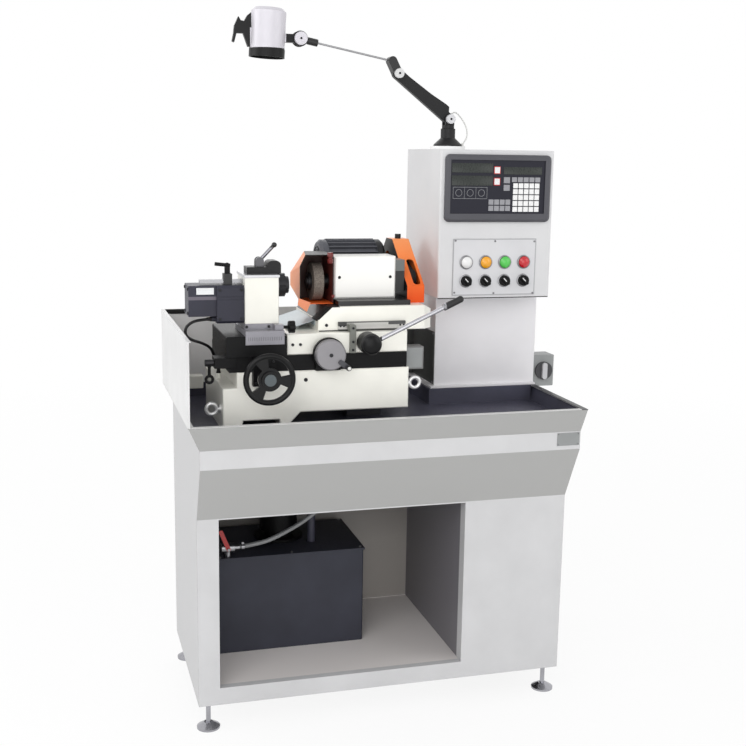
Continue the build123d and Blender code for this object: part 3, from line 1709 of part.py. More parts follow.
# Wheel slide: a bevelled bar with a T-lug below and a rack for the lever's pinion
with BuildPart() as wheel_slide:
    with BuildSketch(front_plane(slide_back)):
        with BuildLine():
            Polyline(
                (slide_left, saddle_top),
                (slide_right, saddle_top),
                (slide_right, slide_top - slide_tail / 2),
                (slide_right - slide_tail, slide_top),
                (slide_left + slide_nose, slide_top),
                (slide_left, saddle_top + slide_nose_rise),
                close=True,
            )
        make_face()
    extrude(amount=slide_depth)
    with BuildSketch(Plane.XY.offset(saddle_top)):
        with BuildLine():
            Polyline(
                (slide_right, slide_front),
                (slide_right - slide_tail, slide_front),
                (slide_right, slide_front + slide_tail),
                close=True,
            )
        make_face()
    extrude(amount=slide_height, mode=Mode.SUBTRACT)
    chamfer(wheel_slide.faces().sort_by(Axis.Y)[0].edges(), table_edge)
    block(
        (slide_lug_left, slide_lug_left + slide_lug_length),
        (slot_y - t_neck / 2 + slide_gap, slot_y + t_neck / 2 - slide_gap),
        (slot_neck_floor - slide_gap, saddle_top),
    )
    block(
        (slide_lug_left, slide_lug_left + slide_lug_length),
        (slot_y - t_foot / 2 + slide_gap, slot_y + t_foot / 2 - slide_gap),
        (slot_neck_floor - t_lug_depth, slot_neck_floor - slide_gap),
    )
    with BuildSketch(front_plane(rack_y + rack_width / 2)):
        with BuildLine():
            Polyline(*rack_outline(), close=True)
        make_face()
    extrude(amount=rack_width)
keep(wheel_slide, "wheel_slide")

# Linear scale on the slide's front, and the bracket that reads it from the saddle
scale_x = bed_left + scale_left
scale_low = saddle_top + scale_above_slide
with BuildPart() as linear_scale:
    block((scale_x, scale_x + scale_length), (slide_front - scale_thickness, slide_front),
          (scale_low, scale_low + scale_height))
    block(
        (scale_x + scale_height, scale_x + scale_length - scale_height),
        (slide_front - scale_thickness, slide_front - scale_thickness + scale_groove_depth),
        (scale_low + scale_groove, scale_low + 2 * scale_groove),
        mode=Mode.SUBTRACT,
    )
keep(linear_scale, "linear_scale")

reader_x = bed_left + reader_offset
with BuildPart() as reader_bracket:
    block(
        (reader_x, reader_x + reader_width),
        (saddle_front - reader_thickness, saddle_front),
        (way_top + clamp_arm_drop, way_top + clamp_arm_drop + reader_height),
    )
    block(
        (reader_x, reader_x + reader_width),
        (saddle_front, slide_front - scale_thickness - reader_gap),
        (scale_low, scale_low + reader_head_height),
    )
keep(reader_bracket, "reader_bracket")

# Wheelhead: a block on a base plate, bored through for the spindle, with a bearing block at the right
cap_right = wheelhead_right + bearing_cap
with BuildPart() as wheelhead:
    block((wheelhead_x, wheelhead_right), (wheelhead_y, wheelhead_back), (wheelhead_bottom, wheelhead_top))
    chamfer(wheelhead.faces().sort_by(Axis.Y)[0].edges(), wheelhead_edge)
    block(
        (wheelhead_x, cap_right),
        (slide_front + head_plate_front, wheelhead_back + head_plate_front),
        (slide_top, wheelhead_bottom),
    )
    block(
        (wheelhead_right, cap_right),
        (wheelhead_y + bearing_cap_inset, wheelhead_back - bearing_cap_inset),
        (axis_z - bearing_cap_drop, axis_z + bearing_cap_rise),
    )
    rod((wheelhead_x, wheel_y, axis_z), (cap_right, wheel_y, axis_z), spindle_radius + run_gap,
        mode=Mode.SUBTRACT)
    for screw_x in (wheelhead_x + head_screw_inset, wheelhead_right - head_screw_inset):
        rod(
            (screw_x, wheelhead_y, axis_z + head_screw_inset),
            (screw_x, wheelhead_y + head_screw_depth, axis_z + head_screw_inset),
            head_screw_radius,
            mode=Mode.SUBTRACT,
        )
keep(wheelhead, "wheelhead")

# Wheel spindle: thrust collar, wheel flange and nut at the left, pulley at the right
wheel_right = wheelhead_x - wheel_from_head
wheel_left = wheel_right - wheel_width
collar_right = wheelhead_x - slide_gap
with BuildPart() as wheel_spindle:
    rod((wheel_left - spindle_nut - spindle_tip, wheel_y, axis_z),
        (pulley_right + spindle_tip, wheel_y, axis_z), spindle_radius)
    rod((wheel_left, wheel_y, axis_z), (wheel_left - spindle_nut, wheel_y, axis_z), wheel_hub_radius)
    rod((wheel_right, wheel_y, axis_z), (wheel_right + wheel_hub_flange, wheel_y, axis_z), wheel_hub_radius)
    rod((collar_right, wheel_y, axis_z), (collar_right - spindle_collar, wheel_y, axis_z),
        spindle_collar_radius)
    rod((cap_right + slide_gap, wheel_y, axis_z), (pulley_right, wheel_y, axis_z), pulley_hub_radius)
    rod((pulley_left, wheel_y, axis_z), (pulley_right, wheel_y, axis_z), spindle_pulley_radius)
    for flange_x in (pulley_left, pulley_right - pulley_flange):
        rod((flange_x, wheel_y, axis_z), (flange_x + pulley_flange, wheel_y, axis_z),
            spindle_pulley_radius + pulley_flange_height)
keep(wheel_spindle, "wheel_spindle")

with BuildPart() as grinding_wheel:
    with BuildSketch(Plane.YZ.offset(wheel_left)):
        with Locations((wheel_y, axis_z)):
            Circle(wheel_radius)
            Circle(spindle_radius + wheel_bore_gap, mode=Mode.SUBTRACT)
    extrude(amount=wheel_width)
keep(grinding_wheel, "grinding_wheel")

# Wheel guard: a folded hood, open at the front, whose left wall narrows towards the rear
hood_right = wheelhead_x - hood_boss
hood_left = hood_right - hood_width
hood_mouth = wheelhead_y - hood_forward
hood_rear = wheel_y + wheel_radius + hood_back_gap
hood_low = slide_top + hood_lift
hood_high = hood_low + hood_height


def hood_outline(corner, low, inset):
    """The six corners of the hood's section, cut at the upper and the lower left and drawn in by an inset."""
    return (
        (hood_left + low[0] + inset, hood_low + inset),
        (hood_left + inset, hood_low + low[1] + inset),
        (hood_left + inset, hood_high - corner[1] - inset),
        (hood_left + corner[0] + inset, hood_high - inset),
        (hood_right - inset, hood_high - inset),
        (hood_right - inset, hood_low + inset),
    )


with BuildPart() as wheel_guard:
    for section_y, corner, low in (
        (hood_mouth, hood_front_corner, hood_front_low),
        (hood_rear, hood_rear_corner, hood_rear_low),
    ):
        with BuildSketch(front_plane(section_y)):
            with BuildLine():
                Polyline(*hood_outline(corner, low, 0), close=True)
            make_face()
    loft(ruled=True)
    for section_y, corner, low in (
        (hood_mouth, hood_front_corner, hood_front_low),
        (hood_rear - hood_wall, hood_rear_corner, hood_rear_low),
    ):
        with BuildSketch(front_plane(section_y)):
            with BuildLine():
                Polyline(*hood_outline(corner, low, hood_wall), close=True)
            make_face()
    loft(ruled=True, mode=Mode.SUBTRACT)
    with BuildSketch(front_plane(hood_mouth)):
        with BuildLine():
            Polyline(*[(hood_left + x, hood_low + z) for x, z in hood_flap], close=True)
        make_face()
    extrude(amount=hood_wall)
    rod((hood_right, wheel_y, axis_z), (wheelhead_x, wheel_y, axis_z), hood_boss_radius)
    rod((hood_right - hood_wall, wheel_y, axis_z), (wheelhead_x, wheel_y, axis_z),
        spindle_collar_radius + hood_wall, mode=Mode.SUBTRACT)
keep(wheel_guard, "wheel_guard")

# Wheel motor: a finned barrel between two bells, on a foot, bored for the pulley's shaft
barrel_left = motor_x + motor_bell
barrel_right = barrel_left + motor_body_length
motor_right = barrel_right + motor_bell
with BuildPart() as wheel_motor:
    rod((barrel_left, motor_y, motor_z), (barrel_right, motor_y, motor_z), motor_radius)
    with BuildSketch(Plane.YZ.offset(barrel_left)):
        with Locations((motor_y, motor_z)):
            with PolarLocations(motor_radius + motor_fin_height / 2 - motor_fin_width / 2, motor_fins):
                Rectangle(motor_fin_height + motor_fin_width, motor_fin_width)
    extrude(amount=motor_body_length)
    rod((motor_x, motor_y, motor_z), (barrel_left, motor_y, motor_z), motor_bell_radius)
    rod((barrel_right, motor_y, motor_z), (motor_right, motor_y, motor_z), motor_bell_radius)
    chamfer(wheel_motor.faces().sort_by(Axis.X)[0].edges(), motor_bell / 3)
    chamfer(wheel_motor.faces().sort_by(Axis.X)[-1].edges(), motor_bell / 3)
    block(
        (barrel_left + motor_foot_inset, barrel_right - motor_foot_inset),
        (motor_y - motor_foot_width / 2, motor_y + motor_foot_width / 2),
        (slide_top, motor_z - motor_radius + motor_foot_inset / 2),
    )
    rod((motor_right - motor_shaft_depth, motor_y, motor_z), (motor_right, motor_y, motor_z),
        motor_shaft_radius + run_gap, mode=Mode.SUBTRACT)
keep(wheel_motor, "wheel_motor")

with BuildPart() as motor_pulley:
    rod((motor_right - motor_shaft_depth + slide_gap, motor_y, motor_z), (pulley_right, motor_y, motor_z),
        motor_shaft_radius)
    rod((pulley_left, motor_y, motor_z), (pulley_right, motor_y, motor_z), motor_pulley_radius)
    for flange_x in (pulley_left, pulley_right - pulley_flange):
        rod((flange_x, motor_y, motor_z), (flange_x + pulley_flange, motor_y, motor_z),
            motor_pulley_radius + pulley_flange_height)
keep(motor_pulley, "motor_pulley")

# Drive belt: a flat loop round both pulleys
pulley_middle = (pulley_left + pulley_right) / 2
with BuildPart() as drive_belt:
    with BuildSketch(Plane.YZ.offset(pulley_middle - belt_width / 2)):
        with Locations((wheel_y, axis_z)):
            Circle(spindle_pulley_radius + belt_gap + belt_thickness)
        with Locations((motor_y, motor_z)):
            Circle(motor_pulley_radius + belt_gap + belt_thickness)
        make_hull()
    extrude(amount=belt_width)
    with BuildSketch(Plane.YZ.offset(pulley_middle - belt_width / 2)):
        with Locations((wheel_y, axis_z)):
            Circle(spindle_pulley_radius + belt_gap)
        with Locations((motor_y, motor_z)):
            Circle(motor_pulley_radius + belt_gap)
        make_hull()
    extrude(amount=belt_width, mode=Mode.SUBTRACT)
keep(drive_belt, "drive_belt")

# Belt cover: a folded box round the pulleys with a slanted front, a slot in it and a knob on top
cover_left = wheelhead_right + cover_gap
cover_right = cover_left + cover_width
cover_front = wheel_y - cover_front_reach
kink = (cover_front, axis_z + cover_kink)
crest = (motor_y - cover_crest_front, motor_z + cover_crest)
cover_corners = (
    (cover_front, slide_top),
    kink,
    crest,
    (motor_y + cover_crest_back, motor_z + cover_crest),
    (motor_y + cover_back_reach, motor_z + cover_back_rise),
    (motor_y + cover_back_reach, motor_z - cover_back_drop),
    (slide_back, slide_top),
)
slant = (crest[0] - kink[0], crest[1] - kink[1])
slot_share = cover_slot_up / math.hypot(*slant)
with BuildPart() as belt_cover:
    with BuildSketch(Plane.YZ.offset(cover_left)):
        with BuildLine():
            Polyline(*cover_corners, close=True)
        make_face()
    extrude(amount=cover_width)
    with BuildSketch(Plane.YZ.offset(cover_left + cover_wall)):
        with BuildLine():
            Polyline(*cover_corners, close=True)
        make_face()
        offset(amount=-cover_wall, kind=Kind.INTERSECTION, mode=Mode.REPLACE)
    extrude(amount=cover_width - 2 * cover_wall, mode=Mode.SUBTRACT)
    with BuildSketch(Plane.YZ.offset(cover_left)):
        with Locations(((wheel_y + motor_y) / 2, (axis_z + motor_z) / 2)):
            SlotCenterToCenter(
                math.hypot(motor_back, motor_rise),
                2 * cover_opening,
                rotation=math.degrees(math.atan2(motor_rise, motor_back)),
            )
    extrude(amount=cover_wall, mode=Mode.SUBTRACT)
    slot_middle = (
        (cover_left + cover_right) / 2 + cover_slot_right,
        kink[0] + slot_share * slant[0],
        kink[1] + slot_share * slant[1],
    )
    with BuildSketch(Plane(origin=slot_middle, x_dir=(1, 0, 0), z_dir=(0, -slant[1], slant[0]))):
        SlotOverall(cover_slot_length, cover_slot_width, rotation=90)
    extrude(amount=2 * cover_wall, both=True, mode=Mode.SUBTRACT)
    with Locations(((cover_left + cover_right) / 2, motor_y - cover_crest_back, motor_z + cover_crest)):
        Cylinder(cover_knob_radius, cover_knob_height, align=BOTTOM)
keep(belt_cover, "belt_cover")

# Coolant tank with a lid that is open for the pump and the return pipe
tank_left = bay_left + tank_left_inset
tank_right = tank_left + tank_length
tank_front = cabinet_front + tank_front_inset
lid_top = tank_top + tank_lid
pump_x = tank_left + pump_across
pump_y = tank_front + pump_back
with BuildPart() as coolant_tank:
    block((tank_left, tank_right), (tank_front, tank_front + tank_depth), (bay_floor, tank_top))
    fillet(coolant_tank.edges().filter_by(Axis.Z), tank_corner)
    block(
        (tank_left + tank_wall, tank_right - tank_wall),
        (tank_front + tank_wall, tank_front + tank_depth - tank_wall),
        (bay_floor + tank_wall, tank_top),
        mode=Mode.SUBTRACT,
    )
    block(
        (tank_left - tank_wall, tank_right + tank_wall),
        (tank_front - tank_wall, tank_front + tank_depth),
        (tank_top, lid_top),
    )
    rod((pump_x, pump_y, tank_top), (pump_x, pump_y, lid_top), pump_tube_radius + tank_wall, mode=Mode.SUBTRACT)
    rod((drain_x, drain_y, tank_top), (drain_x, drain_y, lid_top), return_pipe_radius + tank_wall, mode=Mode.SUBTRACT)
keep(coolant_tank, "coolant_tank")

# Coolant pump standing on the lid, with its tube in the tank
pump_flange_top = lid_top + pump_flange
with BuildPart() as coolant_pump:
    rod((pump_x, pump_y, lid_top), (pump_x, pump_y, pump_flange_top), pump_flange_radius)
    rod((pump_x, pump_y, pump_flange_top), (pump_x, pump_y, pump_flange_top + pump_neck), pump_neck_radius)
    rod(
        (pump_x, pump_y, pump_flange_top + pump_neck),
        (pump_x, pump_y, pump_flange_top + pump_neck + pump_motor_height),
        pump_motor_radius,
    )
    chamfer(coolant_pump.faces().sort_by(Axis.Z)[-1].edges(), pump_flange)
    rod((pump_x, pump_y, lid_top), (pump_x, pump_y, lid_top - pump_tube_length), pump_tube_radius)
keep(coolant_pump, "coolant_pump")

# Coolant valve on the lid, with an outlet to the right and a lever at its front
valve_x = tank_left + valve_across
valve_y = tank_front + valve_back
valve_z = lid_top + valve_rise
outlet_x = valve_x + valve_length / 2 + valve_spout
with BuildPart() as coolant_valve:
    rod((valve_x - valve_length / 2, valve_y, valve_z), (valve_x + valve_length / 2, valve_y, valve_z), valve_radius)
    rod((valve_x, valve_y, lid_top), (valve_x, valve_y, valve_z), valve_neck_radius)
    rod((valve_x + valve_length / 2, valve_y, valve_z), (outlet_x, valve_y, valve_z), hose_spout_radius)
    rod(
        (valve_x, valve_y - valve_radius - valve_stem, valve_z),
        (valve_x, valve_y, valve_z),
        valve_stem_radius,
    )
keep(coolant_valve, "coolant_valve")

with BuildPart() as valve_lever:
    stem_end = valve_y - valve_radius - slide_gap
    swing = math.radians(valve_lever_angle)
    with BuildSketch(front_plane(stem_end)):
        with Locations(
            (
                valve_x + valve_lever_length / 2 * math.cos(swing),
                valve_z + valve_lever_length / 2 * math.sin(swing),
            )
        ):
            SlotOverall(valve_lever_length + valve_lever_width, valve_lever_width, rotation=valve_lever_angle)
        with Locations((valve_x, valve_z)):
            Circle(valve_stem_radius + run_gap, mode=Mode.SUBTRACT)
    extrude(amount=valve_lever_thickness)
keep(valve_lever, "valve_lever")

# Coolant hose from the valve's outlet to the socket under the drip pan
hose_route = [
    (outlet_x + 1, valve_y, valve_z),
    (outlet_x + 62, valve_y + 3, valve_z + 4),
    (outlet_x + 122, valve_y + 10, valve_z + 26),
    (outlet_x + 180, valve_y + 16, valve_z + 54),
    (outlet_x + 232, valve_y + 22, valve_z + 92),
    (hose_x - 52, hose_y - 36, valve_z + 140),
    (hose_x - 26, hose_y - 20, valve_z + 192),
    (hose_x - 9, hose_y - 8, pan_floor - 98),
    (hose_x - 1, hose_y - 1, pan_floor - 48),
    (hose_x, hose_y, pan_floor - sheet - hose_socket / 2),
]
with BuildPart() as coolant_hose:
    cord_tube(hose_route, hose_radius)
keep(coolant_hose, "coolant_hose")

# Motor cable from the gland on the work motor's flange to the gland on the bed's left foot
gland_top = bed_foot_top + bed_gland
cable_x = motor_neck - cable_gland
cable_route = [
    (cable_x - 1, cable_y, cable_z),
    (cable_x - 22, cable_y - 1, cable_z - 1),
    (cable_x - 46, cable_y - 2, cable_z - 5),
    (cable_x - 63, cable_y - 3, cable_z - 18),
    (cable_x - 64, cable_y - 2, cable_z - 38),
    (cable_x - 47, cable_y, cable_z - 51),
    (cable_x - 22, cable_y + 6, cable_z - 59),
    (cable_x + 1, cable_y + 20, cable_z - 74),
    (bed_gland_x - 15, bed_gland_y - 34, gland_top + 48),
    (bed_gland_x - 4, bed_gland_y - 9, gland_top + 27),
    (bed_gland_x, bed_gland_y, gland_top + 2),
]
with BuildPart() as motor_cable:
    cord_tube(cable_route, motor_cable_radius)
keep(motor_cable, "motor_cable")

# Work lamp: a cone base with a bored collar
collar_top = lamp_floor + lamp_base_height
with BuildPart() as lamp_base:
    with BuildSketch(Plane(origin=(lamp_x, lamp_y, lamp_floor), x_dir=(1, 0, 0), z_dir=(0, -1, 0))):
        with BuildLine():
            Polyline(
                (0, 0),
                (lamp_base_radius, 0),
                (lamp_base_radius, lamp_base_rim),
                (lamp_collar_radius, lamp_base_height - lamp_collar),
                (lamp_collar_radius, lamp_base_height),
                (0, lamp_base_height),
                close=True,
            )
        make_face()
    revolve(axis=Axis((lamp_x, lamp_y, 0), (0, 0, 1)))
    rod((lamp_x, lamp_y, collar_top - lamp_turret_pin - slide_gap), (lamp_x, lamp_y, collar_top),
        lamp_turret_pin_radius + run_gap, mode=Mode.SUBTRACT)
keep(lamp_base, "lamp_base")

# Turret: a pin in the base, a disc and two ears with the first pivot
disc_top = collar_top + slide_gap + lamp_turret_disc
pivot_x = lamp_x
pivot_z = disc_top + lamp_pivot_rise
fork_half = lamp_ear_gap / 2 + lamp_ear
with BuildPart() as lamp_turret:
    rod((lamp_x, lamp_y, collar_top - lamp_turret_pin), (lamp_x, lamp_y, collar_top + slide_gap),
        lamp_turret_pin_radius)
    rod((lamp_x, lamp_y, collar_top + slide_gap), (lamp_x, lamp_y, disc_top), lamp_turret_disc_radius)
    with BuildSketch(front_plane(lamp_y)):
        with Locations((pivot_x, pivot_z)):
            Circle(lamp_ear_radius)
        between((pivot_x - lamp_ear_radius, pivot_x + lamp_ear_radius), (disc_top, pivot_z))
    extrude(amount=fork_half, both=True)
    with BuildSketch(front_plane(lamp_y)):
        between(
            (pivot_x - lamp_turret_disc_radius, pivot_x + lamp_turret_disc_radius),
            (disc_top, pivot_z + lamp_turret_disc_radius),
        )
    extrude(amount=lamp_ear_gap / 2, both=True, mode=Mode.SUBTRACT)
    rod((pivot_x, lamp_y - fork_half, pivot_z), (pivot_x, lamp_y + fork_half, pivot_z), lamp_pivot_pin)
    rod((pivot_x, lamp_y - fork_half, pivot_z), (pivot_x, lamp_y - fork_half - lamp_knob, pivot_z), lamp_knob_radius)
keep(lamp_turret, "lamp_turret")

# Lower arm: a flat bar with a hump on its upper edge and an eye at each end
arm_turn = math.radians(lamp_arm_angle)
elbow_x = pivot_x + lamp_arm_length * math.cos(arm_turn)
elbow_z = pivot_z + lamp_arm_length * math.sin(arm_turn)
hump = ((0.05, 0.0), (0.11, 1.0), (0.17, 1.0), (0.43, 0.6), (0.9, 0.25))
with BuildPart() as lamp_lower_arm:
    with BuildSketch(front_plane(lamp_y)):
        with Locations(((pivot_x + elbow_x) / 2, (pivot_z + elbow_z) / 2)):
            SlotCenterToCenter(lamp_arm_length, lamp_arm_width, rotation=lamp_arm_angle)
        with BuildLine():
            Polyline(
                *[
                    (
                        pivot_x + share * (elbow_x - pivot_x)
                        + (lamp_arm_width / 3 + level * lamp_arm_hump) * math.sin(arm_turn),
                        pivot_z + share * (elbow_z - pivot_z)
                        - (lamp_arm_width / 3 + level * lamp_arm_hump) * math.cos(arm_turn),
                    )
                    for share, level in hump
                ],
                close=True,
            )
        make_face()
        with Locations((pivot_x, pivot_z), (elbow_x, elbow_z)):
            Circle(lamp_pivot_pin + run_gap, mode=Mode.SUBTRACT)
    extrude(amount=lamp_arm_thickness / 2, both=True)
keep(lamp_lower_arm, "lamp_lower_arm")

# Upper arm: a forked elbow, a chrome rod and a socket with an eye for the head
corner_x = elbow_x - lamp_elbow_back
corner_z = elbow_z + lamp_elbow_lift
tip_x = corner_x - lamp_rod_reach
tip_z = corner_z + lamp_rod_rise
rod_length = math.hypot(lamp_rod_reach, lamp_rod_rise)


def along_rod(before_tip):
    """A point on the upper arm's rod at a distance before the head's pivot."""
    share = 1 - before_tip / rod_length
    return (corner_x + share * (tip_x - corner_x), lamp_y, corner_z + share * (tip_z - corner_z))


with BuildPart() as lamp_upper_arm:
    with BuildSketch(front_plane(lamp_y)):
        with Locations(((elbow_x + corner_x) / 2, (elbow_z + corner_z) / 2)):
            SlotCenterToCenter(
                math.hypot(lamp_elbow_back, lamp_elbow_lift),
                2 * lamp_elbow_radius,
                rotation=math.degrees(math.atan2(lamp_elbow_lift, -lamp_elbow_back)),
            )
    extrude(amount=fork_half, both=True)
    with BuildSketch(front_plane(lamp_y)):
        with Locations((elbow_x, elbow_z)):
            Circle(lamp_arm_width / 2 + lamp_elbow_clear)
    extrude(amount=lamp_ear_gap / 2, both=True, mode=Mode.SUBTRACT)
    rod((elbow_x, lamp_y - fork_half, elbow_z), (elbow_x, lamp_y + fork_half, elbow_z), lamp_pivot_pin)
    rod((elbow_x, lamp_y - fork_half, elbow_z), (elbow_x, lamp_y - fork_half - lamp_knob, elbow_z), lamp_knob_radius)
    rod((corner_x, lamp_y, corner_z), along_rod(lamp_socket_gap), lamp_rod_radius)
    rod(along_rod(lamp_socket_gap + lamp_socket_length), along_rod(lamp_socket_gap), lamp_socket_radius)
    rod(along_rod(lamp_socket_gap), (tip_x, lamp_y, tip_z), lamp_rod_radius)
    with BuildSketch(front_plane(lamp_y)):
        with Locations((tip_x, tip_z)):
            Circle(lamp_tip_radius)
    extrude(amount=lamp_tip_thickness / 2, both=True)
    rod((tip_x, lamp_y - lamp_tip_thickness, tip_z), (tip_x, lamp_y + lamp_tip_thickness, tip_z),
        lamp_tip_pin + run_gap, mode=Mode.SUBTRACT)
keep(lamp_upper_arm, "lamp_upper_arm")

# Lamp head: a hollow shade with a lens, a lower ring, a handle and a fork to the arm
shade_x = tip_x - lamp_head_reach
shade_z = tip_z - lamp_head_below
tilt = math.radians(lamp_head_tilt)
shade_axis = Vector(math.sin(tilt), 0, math.cos(tilt))


def up_shade(height):
    """A point on the shade's axis at a height above its lower edge."""
    return (shade_x + height * shade_axis.X, lamp_y, shade_z + height * shade_axis.Z)


tip_fork = lamp_tip_thickness / 2 + lamp_tip_gap
shade_left = shade_x - lamp_head_radius
lamp_handle = (*lamp_handle_root, *lamp_handle_upper, *lamp_handle_lower)
with BuildPart() as lamp_head:
    rod(up_shade(0), up_shade(lamp_head_height), lamp_head_radius)
    chamfer(lamp_head.faces().sort_by(Axis.Z)[-1].edges(), lamp_head_crown)
    rod(up_shade(-lamp_ring_height), up_shade(0), lamp_head_radius + lamp_head_wall / 2)
    with BuildSketch(front_plane(lamp_y)):
        with Locations((tip_x - lamp_fork_length / 2, tip_z)):
            SlotCenterToCenter(lamp_fork_length, 2 * lamp_tip_radius)
        with Locations((tip_x, tip_z)):
            Circle(lamp_knuckle_radius)
    extrude(amount=tip_fork + lamp_fork_plate, both=True)
    with BuildSketch(front_plane(lamp_y)):
        between((tip_x - lamp_fork_room, tip_x + lamp_knuckle_radius), (tip_z - lamp_arm_width, tip_z + lamp_arm_width))
    extrude(amount=tip_fork, both=True, mode=Mode.SUBTRACT)
    fork_face = lamp_y - tip_fork - lamp_fork_plate
    rod((tip_x, fork_face, tip_z), (tip_x, lamp_y + tip_fork + lamp_fork_plate, tip_z), lamp_tip_pin)
    rod((tip_x, fork_face, tip_z), (tip_x, fork_face - lamp_knob, tip_z), lamp_head_knob_radius)
    with BuildSketch(front_plane(lamp_y)):
        with BuildLine():
            Polyline(*[(shade_left + x, shade_z + z) for x, z in lamp_handle], close=True)
        make_face()
    extrude(amount=lamp_handle_depth / 2, both=True)
    rod(up_shade(-lamp_ring_height), up_shade(lamp_head_height - lamp_head_crown), lamp_head_radius - lamp_head_wall,
        mode=Mode.SUBTRACT)
    rod(up_shade(lamp_lens_up - lamp_ring_height), up_shade(lamp_lens_up - lamp_ring_height + lamp_lens),
        lamp_head_radius - lamp_head_wall / 2)
    for vent in range(lamp_vents):
        turn = math.radians(360 * vent / lamp_vents)
        vent_x = shade_x + lamp_head_radius / 2 * math.cos(turn)
        vent_y = lamp_y + lamp_head_radius / 2 * math.sin(turn)
        rod((vent_x, vent_y, shade_z + lamp_head_height / 2), (vent_x, vent_y, shade_z + 2 * lamp_head_height),
            lamp_vent_radius, mode=Mode.SUBTRACT)
keep(lamp_head, "lamp_head")

# Lamp cord from the turret's rear ear to the top of the control box
cord_y = lamp_y + lamp_ear_gap / 2 + lamp_ear / 2
cord_exit = (lamp_ear_radius + 0.2) * math.sqrt(0.5)
cord_route = [
    (pivot_x + cord_exit, cord_y, pivot_z + cord_exit),
    (pivot_x + 18.5, cord_y + 0.3, pivot_z + 22),
    (pivot_x + 33.5, cord_y + 0.4, pivot_z + 12),
    (pivot_x + 50, cord_y, pivot_z - 8),
    (pivot_x + 58, cord_y - 0.5, pivot_z - 29),
    (pivot_x + 57.5, cord_y - 1, pivot_z - 46),
    (pivot_x + 48.5, cord_y - 1.5, pivot_z - 59),
    (pivot_x + 44.5, cord_y - 1.5, lamp_floor + 2),
]
with BuildPart() as lamp_cord:
    cord_tube(cord_route, lamp_cord_radius)
keep(lamp_cord, "lamp_cord")
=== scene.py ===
import logging
import math
from dataclasses import dataclass, field, replace
from enum import Enum
from itertools import product
from typing import Iterable, Optional, Sequence

import bpy
from mathutils import Matrix, Vector


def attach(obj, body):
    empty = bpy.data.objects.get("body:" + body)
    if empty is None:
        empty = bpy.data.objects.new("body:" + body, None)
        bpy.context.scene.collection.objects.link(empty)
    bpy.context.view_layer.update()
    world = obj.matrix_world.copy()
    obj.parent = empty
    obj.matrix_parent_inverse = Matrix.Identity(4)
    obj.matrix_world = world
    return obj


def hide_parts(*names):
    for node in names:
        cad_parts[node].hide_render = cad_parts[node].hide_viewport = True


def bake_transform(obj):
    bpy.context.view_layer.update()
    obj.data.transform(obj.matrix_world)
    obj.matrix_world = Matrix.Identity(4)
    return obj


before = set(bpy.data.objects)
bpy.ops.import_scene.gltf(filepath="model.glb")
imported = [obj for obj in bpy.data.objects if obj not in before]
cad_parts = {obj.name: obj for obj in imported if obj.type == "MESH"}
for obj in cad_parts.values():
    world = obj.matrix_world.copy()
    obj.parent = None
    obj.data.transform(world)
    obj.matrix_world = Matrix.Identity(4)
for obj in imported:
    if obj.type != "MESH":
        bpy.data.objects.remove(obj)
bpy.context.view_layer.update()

ROOT = "stand"
MM = 0.001
FULL_TURN = 2 * math.pi
SMOOTH_ANGLE = math.radians(35)
MERGE_GAP = 1e-6
SQUARE_ON = 0.99
LARGE_SHARE = 0.5
TUBE_FACETS = 5
SPLINE_STEPS = 10
SCREW_FACETS = 18
SCREW_SHARE = 0.9
SCREW_HEAD = ((0.4, 0.0), (0.4, 0.5), (1.0, 0.56), (1.0, 0.86), (0.86, 1.0), (0.0, 1.0), (0.0, 0.0))

Colour = tuple[float, float, float]
Point = tuple[float, float, float]
Pair = tuple[float, float]
Outline = Sequence[Pair]
Span = tuple[Optional[float], Optional[float]]
Piece = bpy.types.Object
Socket = bpy.types.NodeSocket
OPEN: Span = (None, None)
EVEN = (1.0, 1.0, 1.0)
WHITE = (1.0, 1.0, 1.0, 1.0)
log = logging.getLogger("grinder")


class Way(Enum):
    """The directions that pieces look in, as unit vectors."""

    LEFT = (-1.0, 0.0, 0.0)
    RIGHT = (1.0, 0.0, 0.0)
    FRONT = (0.0, -1.0, 0.0)
    BACK = (0.0, 1.0, 0.0)
    UP = (0.0, 0.0, 1.0)

    @property
    def vector(self) -> Vector:
        """The direction as a vector."""
        return Vector(self.value)


def mm(*values: float) -> Vector:
    """A point of the frame, from millimetres."""
    return Vector(values) * MM


def linear(colour: Colour) -> tuple[float, float, float, float]:
    """A display colour from 0 to 1 as the linear colour that the shader takes."""
    parts = [c / 12.92 if c <= 0.04045 else ((c + 0.055) / 1.055) ** 2.4 for c in colour]
    return (*parts, 1.0)


